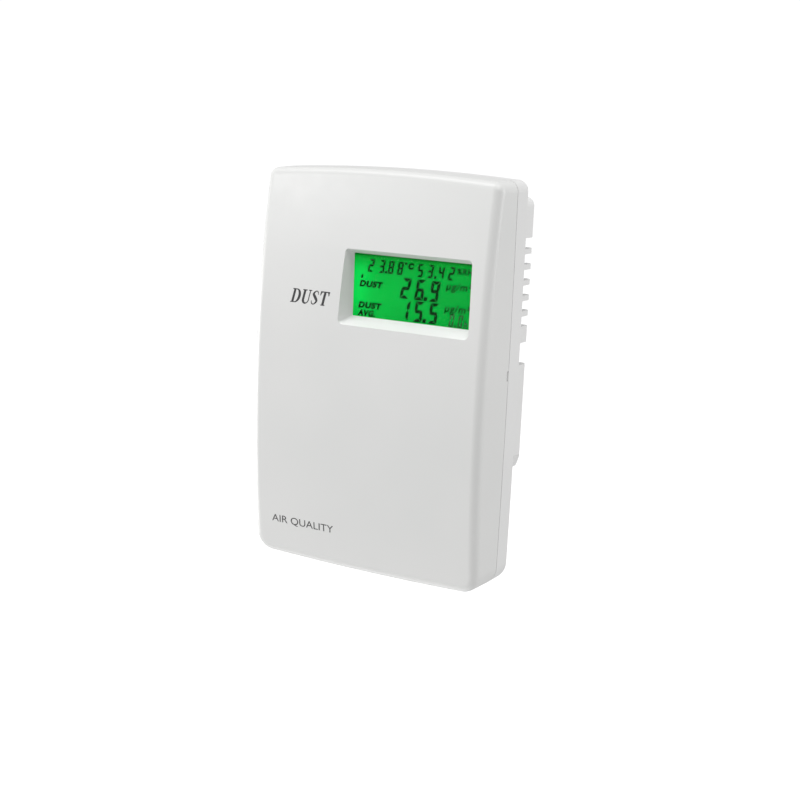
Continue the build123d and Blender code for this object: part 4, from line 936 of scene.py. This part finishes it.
def islands(node):
    """Corners of the box round each separate body of a node."""
    builder = bmesh.new()
    builder.from_mesh(NODES[node].data)
    bmesh.ops.remove_doubles(builder, verts=builder.verts[:], dist=0.002 * MM)
    builder.verts.index_update()
    seen = set()
    boxes = []
    for first in builder.verts:
        if first.index in seen:
            continue
        seen.add(first.index)
        waiting = [first]
        low, high = first.co.copy(), first.co.copy()
        while waiting:
            vertex = waiting.pop()
            low = Vector([min(pair) for pair in zip(low, vertex.co)])
            high = Vector([max(pair) for pair in zip(high, vertex.co)])
            for edge in vertex.link_edges:
                other = edge.other_vert(vertex)
                if other.index not in seen:
                    seen.add(other.index)
                    waiting.append(other)
        boxes.append((low, high))
    builder.free()
    return boxes


LEAD_WIDTH = 0.32 * MM
LEAD_THICKNESS = 0.13 * MM
LEAD_REACH = 1.15 * MM
LEAD_HEIGHT_SHARE = 0.45
FAN_OUT_SHARE = 0.75
PAD_MARGIN = 0.1 * MM
FINE_PITCH = 0.8 * MM
COARSE_PITCH = 1.27 * MM
TRACE_WIDTH = 0.2 * MM
BUS_WIDTH = 0.22 * MM
PRINT_WIDTH = 0.14 * MM
# Inner and outer radius of a plated hole at the end of a trace, and of one on a bus
TRACE_HOLE = (0.15 * MM, 0.32 * MM)
BUS_HOLE = (0.15 * MM, 0.34 * MM)
PIN_MARK = (0.05 * MM, 0.28 * MM)


def sides_of(box, four_sided):
    """Middle, outward direction and length of each side of a chip that has leads, as x and z."""
    low, high = box
    middle = (low + high) / 2
    wide, tall = high.x - low.x, high.z - low.z
    right_left = [((high.x, middle.z), (1, 0), tall), ((low.x, middle.z), (-1, 0), tall)]
    top_bottom = [((middle.x, high.z), (0, 1), wide), ((middle.x, low.z), (0, -1), wide)]
    if four_sided:
        return right_left + top_bottom
    return right_left if tall > wide else top_bottom


def add_lead(leads, pads, root, outward, height):
    """Gull-wing lead from a chip's side down to its pad."""
    out_x, out_z = outward
    forward = Vector((out_x, 0, out_z))
    across = Vector((-out_z, 0, out_x)) * LEAD_WIDTH / 2
    start = Vector((root[0], BOARD_FACE, root[1]))
    floor = COPPER_RISE + LEAD_THICKNESS / 2
    profile = [(-0.1, height), (0.25, height), (0.42, height * 0.85)]
    profile += [(0.55, floor * 1.6), (0.7, floor), (1, floor)]
    thick = OUT * LEAD_THICKNESS / 2
    stations = []
    for reach, rise in profile:
        centre = start + forward * LEAD_REACH * reach + OUT * rise
        left, right = centre + across, centre - across
        stations.append([left + thick, right + thick, right - thick, left - thick])
    leads.beam(stations)
    near = start + forward * LEAD_REACH * 0.5
    far = start + forward * (LEAD_REACH + PAD_MARGIN * 2)
    side = across * (1 + 2 * PAD_MARGIN / LEAD_WIDTH)
    corners = [near + side, near - side, far + side, far - side]
    low = Vector([min(c[i] for c in corners) for i in range(3)])
    high = Vector([max(c[i] for c in corners) for i in range(3)])
    low.y -= COPPER_RISE
    pads.box(low, high)


def fan_out(traces, pads, root, outward, turn, stretch):
    """Trace that leaves a lead, turns half a right angle, turns back and ends in a plated hole."""
    out_x, out_z = outward
    side_x, side_z = -out_z * turn, out_x * turn
    start = (root[0] + out_x * LEAD_REACH, root[1] + out_z * LEAD_REACH)
    knee = (start[0] + out_x * 0.9 * MM, start[1] + out_z * 0.9 * MM)
    slope = 1.3 * MM
    bend = (knee[0] + (out_x + side_x) * slope, knee[1] + (out_z + side_z) * slope)
    end = (bend[0] + out_x * stretch, bend[1] + out_z * stretch)
    traces.line([start, knee, bend, end], TRACE_WIDTH, COPPER_RISE)
    pads.ring(end, TRACE_HOLE, HOLE_RISE)


def dress_chips(leads, pads, traces, silk):
    """Leads, pads, traces and a first-pin mark for each chip on the main board."""
    dice = random.Random(7)
    chips = [(box, True, FINE_PITCH) for box in islands("microcontroller")]
    for name in ("driver_chips", "power_converter"):
        chips += [(box, False, COARSE_PITCH) for box in islands(name)]
    for box, four_sided, pitch in chips:
        low, high = box
        height = (high.y - low.y) * LEAD_HEIGHT_SHARE
        for middle, outward, length in sides_of(box, four_sided):
            count = int((length - 0.6 * MM) / pitch) + 1
            turn = dice.choice((-1, 1))
            for index in range(count):
                offset = (index - (count - 1) / 2) * pitch
                root = (middle[0] - outward[1] * offset, middle[1] + outward[0] * offset)
                add_lead(leads, pads, root, outward, height)
                if dice.random() < FAN_OUT_SHARE:
                    fan_out(traces, pads, root, outward, turn, (0.3 + 0.9 * (index % 2)) * MM)
        silk.ring((low.x - 0.75 * MM, high.z + 0.75 * MM), PIN_MARK, SILK_RISE)


SMALL_MARGIN = 0.55 * MM
LARGE_MARGIN = 0.5 * MM


def frame_round(silk, box, margin):
    """Printed rectangle round a component."""
    low, high = box
    left, right = low.x - margin, high.x + margin
    bottom, top = low.z - margin, high.z + margin
    half = (left + right) / 2
    corners = [(half, bottom), (right, bottom), (right, top), (left, top), (left, bottom), (half, bottom)]
    silk.line(corners, PRINT_WIDTH, SILK_RISE)


CAP_SHARE = 0.24
CAP_OVERLAP = 0.02 * MM
CAP_PAD = 0.35 * MM


def dress_small_parts(leads, pads, silk):
    """Tinned ends, solder pads and a printed frame for each small resistor and capacitor."""
    for node in ("chip_resistors", "chip_capacitors"):
        for low, high in islands(node):
            axis = 0 if high.x - low.x > high.z - low.z else 2
            length = high[axis] - low[axis]
            for end in (0, 1):
                start, stop = low.copy(), high.copy()
                if end:
                    start[axis] = high[axis] - CAP_SHARE * length
                else:
                    stop[axis] = low[axis] + CAP_SHARE * length
                grow = Vector((CAP_OVERLAP, CAP_OVERLAP, CAP_OVERLAP))
                cap_low, cap_high = start - grow, stop + grow
                cap_high.y = BOARD_FACE
                leads.box(cap_low, cap_high)
                pad_low, pad_high = start.copy(), stop.copy()
                pad_low[axis] -= CAP_PAD * (1 - end)
                pad_high[axis] += CAP_PAD * end
                cross = 2 - axis
                pad_low[cross] -= PAD_MARGIN
                pad_high[cross] += PAD_MARGIN
                pad_low.y, pad_high.y = BOARD_FACE - COPPER_RISE, BOARD_FACE
                pads.box(pad_low, pad_high)
            frame_round(silk, (low, high), SMALL_MARGIN)


FOOT_PAD = 0.45 * MM


def dress_large_parts(pads, silk):
    """Printed outlines and pads for the coil, crystal and buttons."""
    for node in ("power_inductor", "crystal", "button_bases"):
        for low, high in islands(node):
            frame_round(silk, (low, high), LARGE_MARGIN)
            for x, side in ((low.x, -1), (high.x, 1)):
                for share in (0.25, 0.75):
                    z = low.z + share * (high.z - low.z)
                    near = min(x, x + side * FOOT_PAD)
                    corner = Vector((near, BOARD_FACE - COPPER_RISE, z - 0.5 * MM))
                    pads.box(corner, corner + Vector((FOOT_PAD, COPPER_RISE, 1.0 * MM)))


def mark_cans(silk, sleeves):
    """Printed circle round each can, and the dark segment on its top that marks its polarity."""
    for low, high in islands("electrolytic_capacitors"):
        centre = ((low.x + high.x) / 2, (low.z + high.z) / 2)
        radius = (high.x - low.x) / 2
        silk.ring(centre, (radius + 0.35 * MM, radius + 0.5 * MM), SILK_RISE, 48)
        chord_x = centre[0] - radius * 0.34
        points = arc(centre, (radius * 0.82, radius * 0.82), 115, 245, 20)
        lift = OUT * SILK_RISE * 0.5
        for pair in zip(points, points[1:]):
            stations = []
            for x, z in pair:
                rim, root = Vector((x, low.y, z)), Vector((chord_x, low.y, z))
                stations.append([rim, rim + lift, root + lift, root])
            sleeves.beam(stations)


# Spacing of a bus's lines, and the number of lines from the header, along the edge and to the buttons
BUS_STEP = 0.55 * MM
HEADER_LINES = 6
EDGE_LINES = 8
BUTTON_LINES = 5


def run_buses(traces, pads):
    """Bundles of parallel traces between the board's regions, each with one jog."""
    low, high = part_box("main_board")
    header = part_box("link_header")
    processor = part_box("microcontroller")
    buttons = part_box("button_bases")
    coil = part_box("power_inductor")
    for index in range(HEADER_LINES):
        x = header[0].x + 1.2 * MM + index * BUS_STEP * 2
        foot, head = header[1].z + 0.6 * MM, coil[0].z - 3.2 * MM + index * BUS_STEP
        end = (x + 2 * MM, head + 5 * MM)
        traces.line([(x, foot), (x, head), (x + 2 * MM, head + 2 * MM), end], BUS_WIDTH, COPPER_RISE)
        pads.ring(end, BUS_HOLE, HOLE_RISE)
    for index in range(EDGE_LINES):
        x = low.x + 1.6 * MM + index * BUS_STEP
        foot, head = low.z + 9 * MM + index * BUS_STEP, high.z - 9 * MM - index * BUS_STEP
        jog = x + 1.8 * MM
        bends = [(x, -6 * MM - index * BUS_STEP), (jog, -4.2 * MM - index * BUS_STEP)]
        traces.line([(x, foot), *bends, (jog, head)], BUS_WIDTH, COPPER_RISE)
        pads.ring((jog, head), BUS_HOLE, HOLE_RISE)
        pads.ring((x, foot), BUS_HOLE, HOLE_RISE)
    for index in range(BUTTON_LINES):
        z = buttons[1].z + 2.2 * MM + index * BUS_STEP
        start = [(processor[1].x + 3 * MM, z + 4 * MM), (processor[1].x + 7 * MM, z)]
        end = (buttons[1].x, z)
        traces.line([*start, (buttons[0].x + index * BUS_STEP, z), end], BUS_WIDTH, COPPER_RISE)
        pads.ring(end, BUS_HOLE, HOLE_RISE)


def ring_screws(pads):
    """Bare copper lands under the heads of the board's screws."""
    for low, high in islands("board_screws"):
        centre = ((low.x + high.x) / 2, (low.z + high.z) / 2)
        radius = (high.x - low.x) / 2
        pads.ring(centre, (radius * 0.8, radius + 0.55 * MM), COPPER_RISE, 40)


def dress_main_board():
    """Everything small on the front of the main board."""
    leads, pads, traces, silk, sleeves = Store(), Store(), Store(), Store(), Store()
    dress_chips(leads, pads, traces, silk)
    dress_small_parts(leads, pads, silk)
    dress_large_parts(pads, silk)
    mark_cans(silk, sleeves)
    run_buses(traces, pads)
    ring_screws(pads)
    solder = metal("solder", (0.55, 0.56, 0.57), (0.72, 0.72, 0.73), (0.2, 0.34))
    copper = moulded("masked_copper", (0.02, 0.17, 0.06), (0.026, 0.2, 0.075), (0.48, 0.6), specular=0.25)
    white = printed("silk_white", (0.6, 0.62, 0.6), (0.7, 0.72, 0.7))
    black = printed("can_ink", (0.02, 0.02, 0.022), (0.03, 0.03, 0.033))
    leads.piece("chip_leads", "pin_metal", solder)
    pads.piece("board_pads", "pin_metal", solder)
    traces.piece("board_traces", "circuit_board", copper)
    silk.piece("board_print", "frame_white", white)
    sleeves.piece("can_marks", "button_black", black)


dress_main_board()
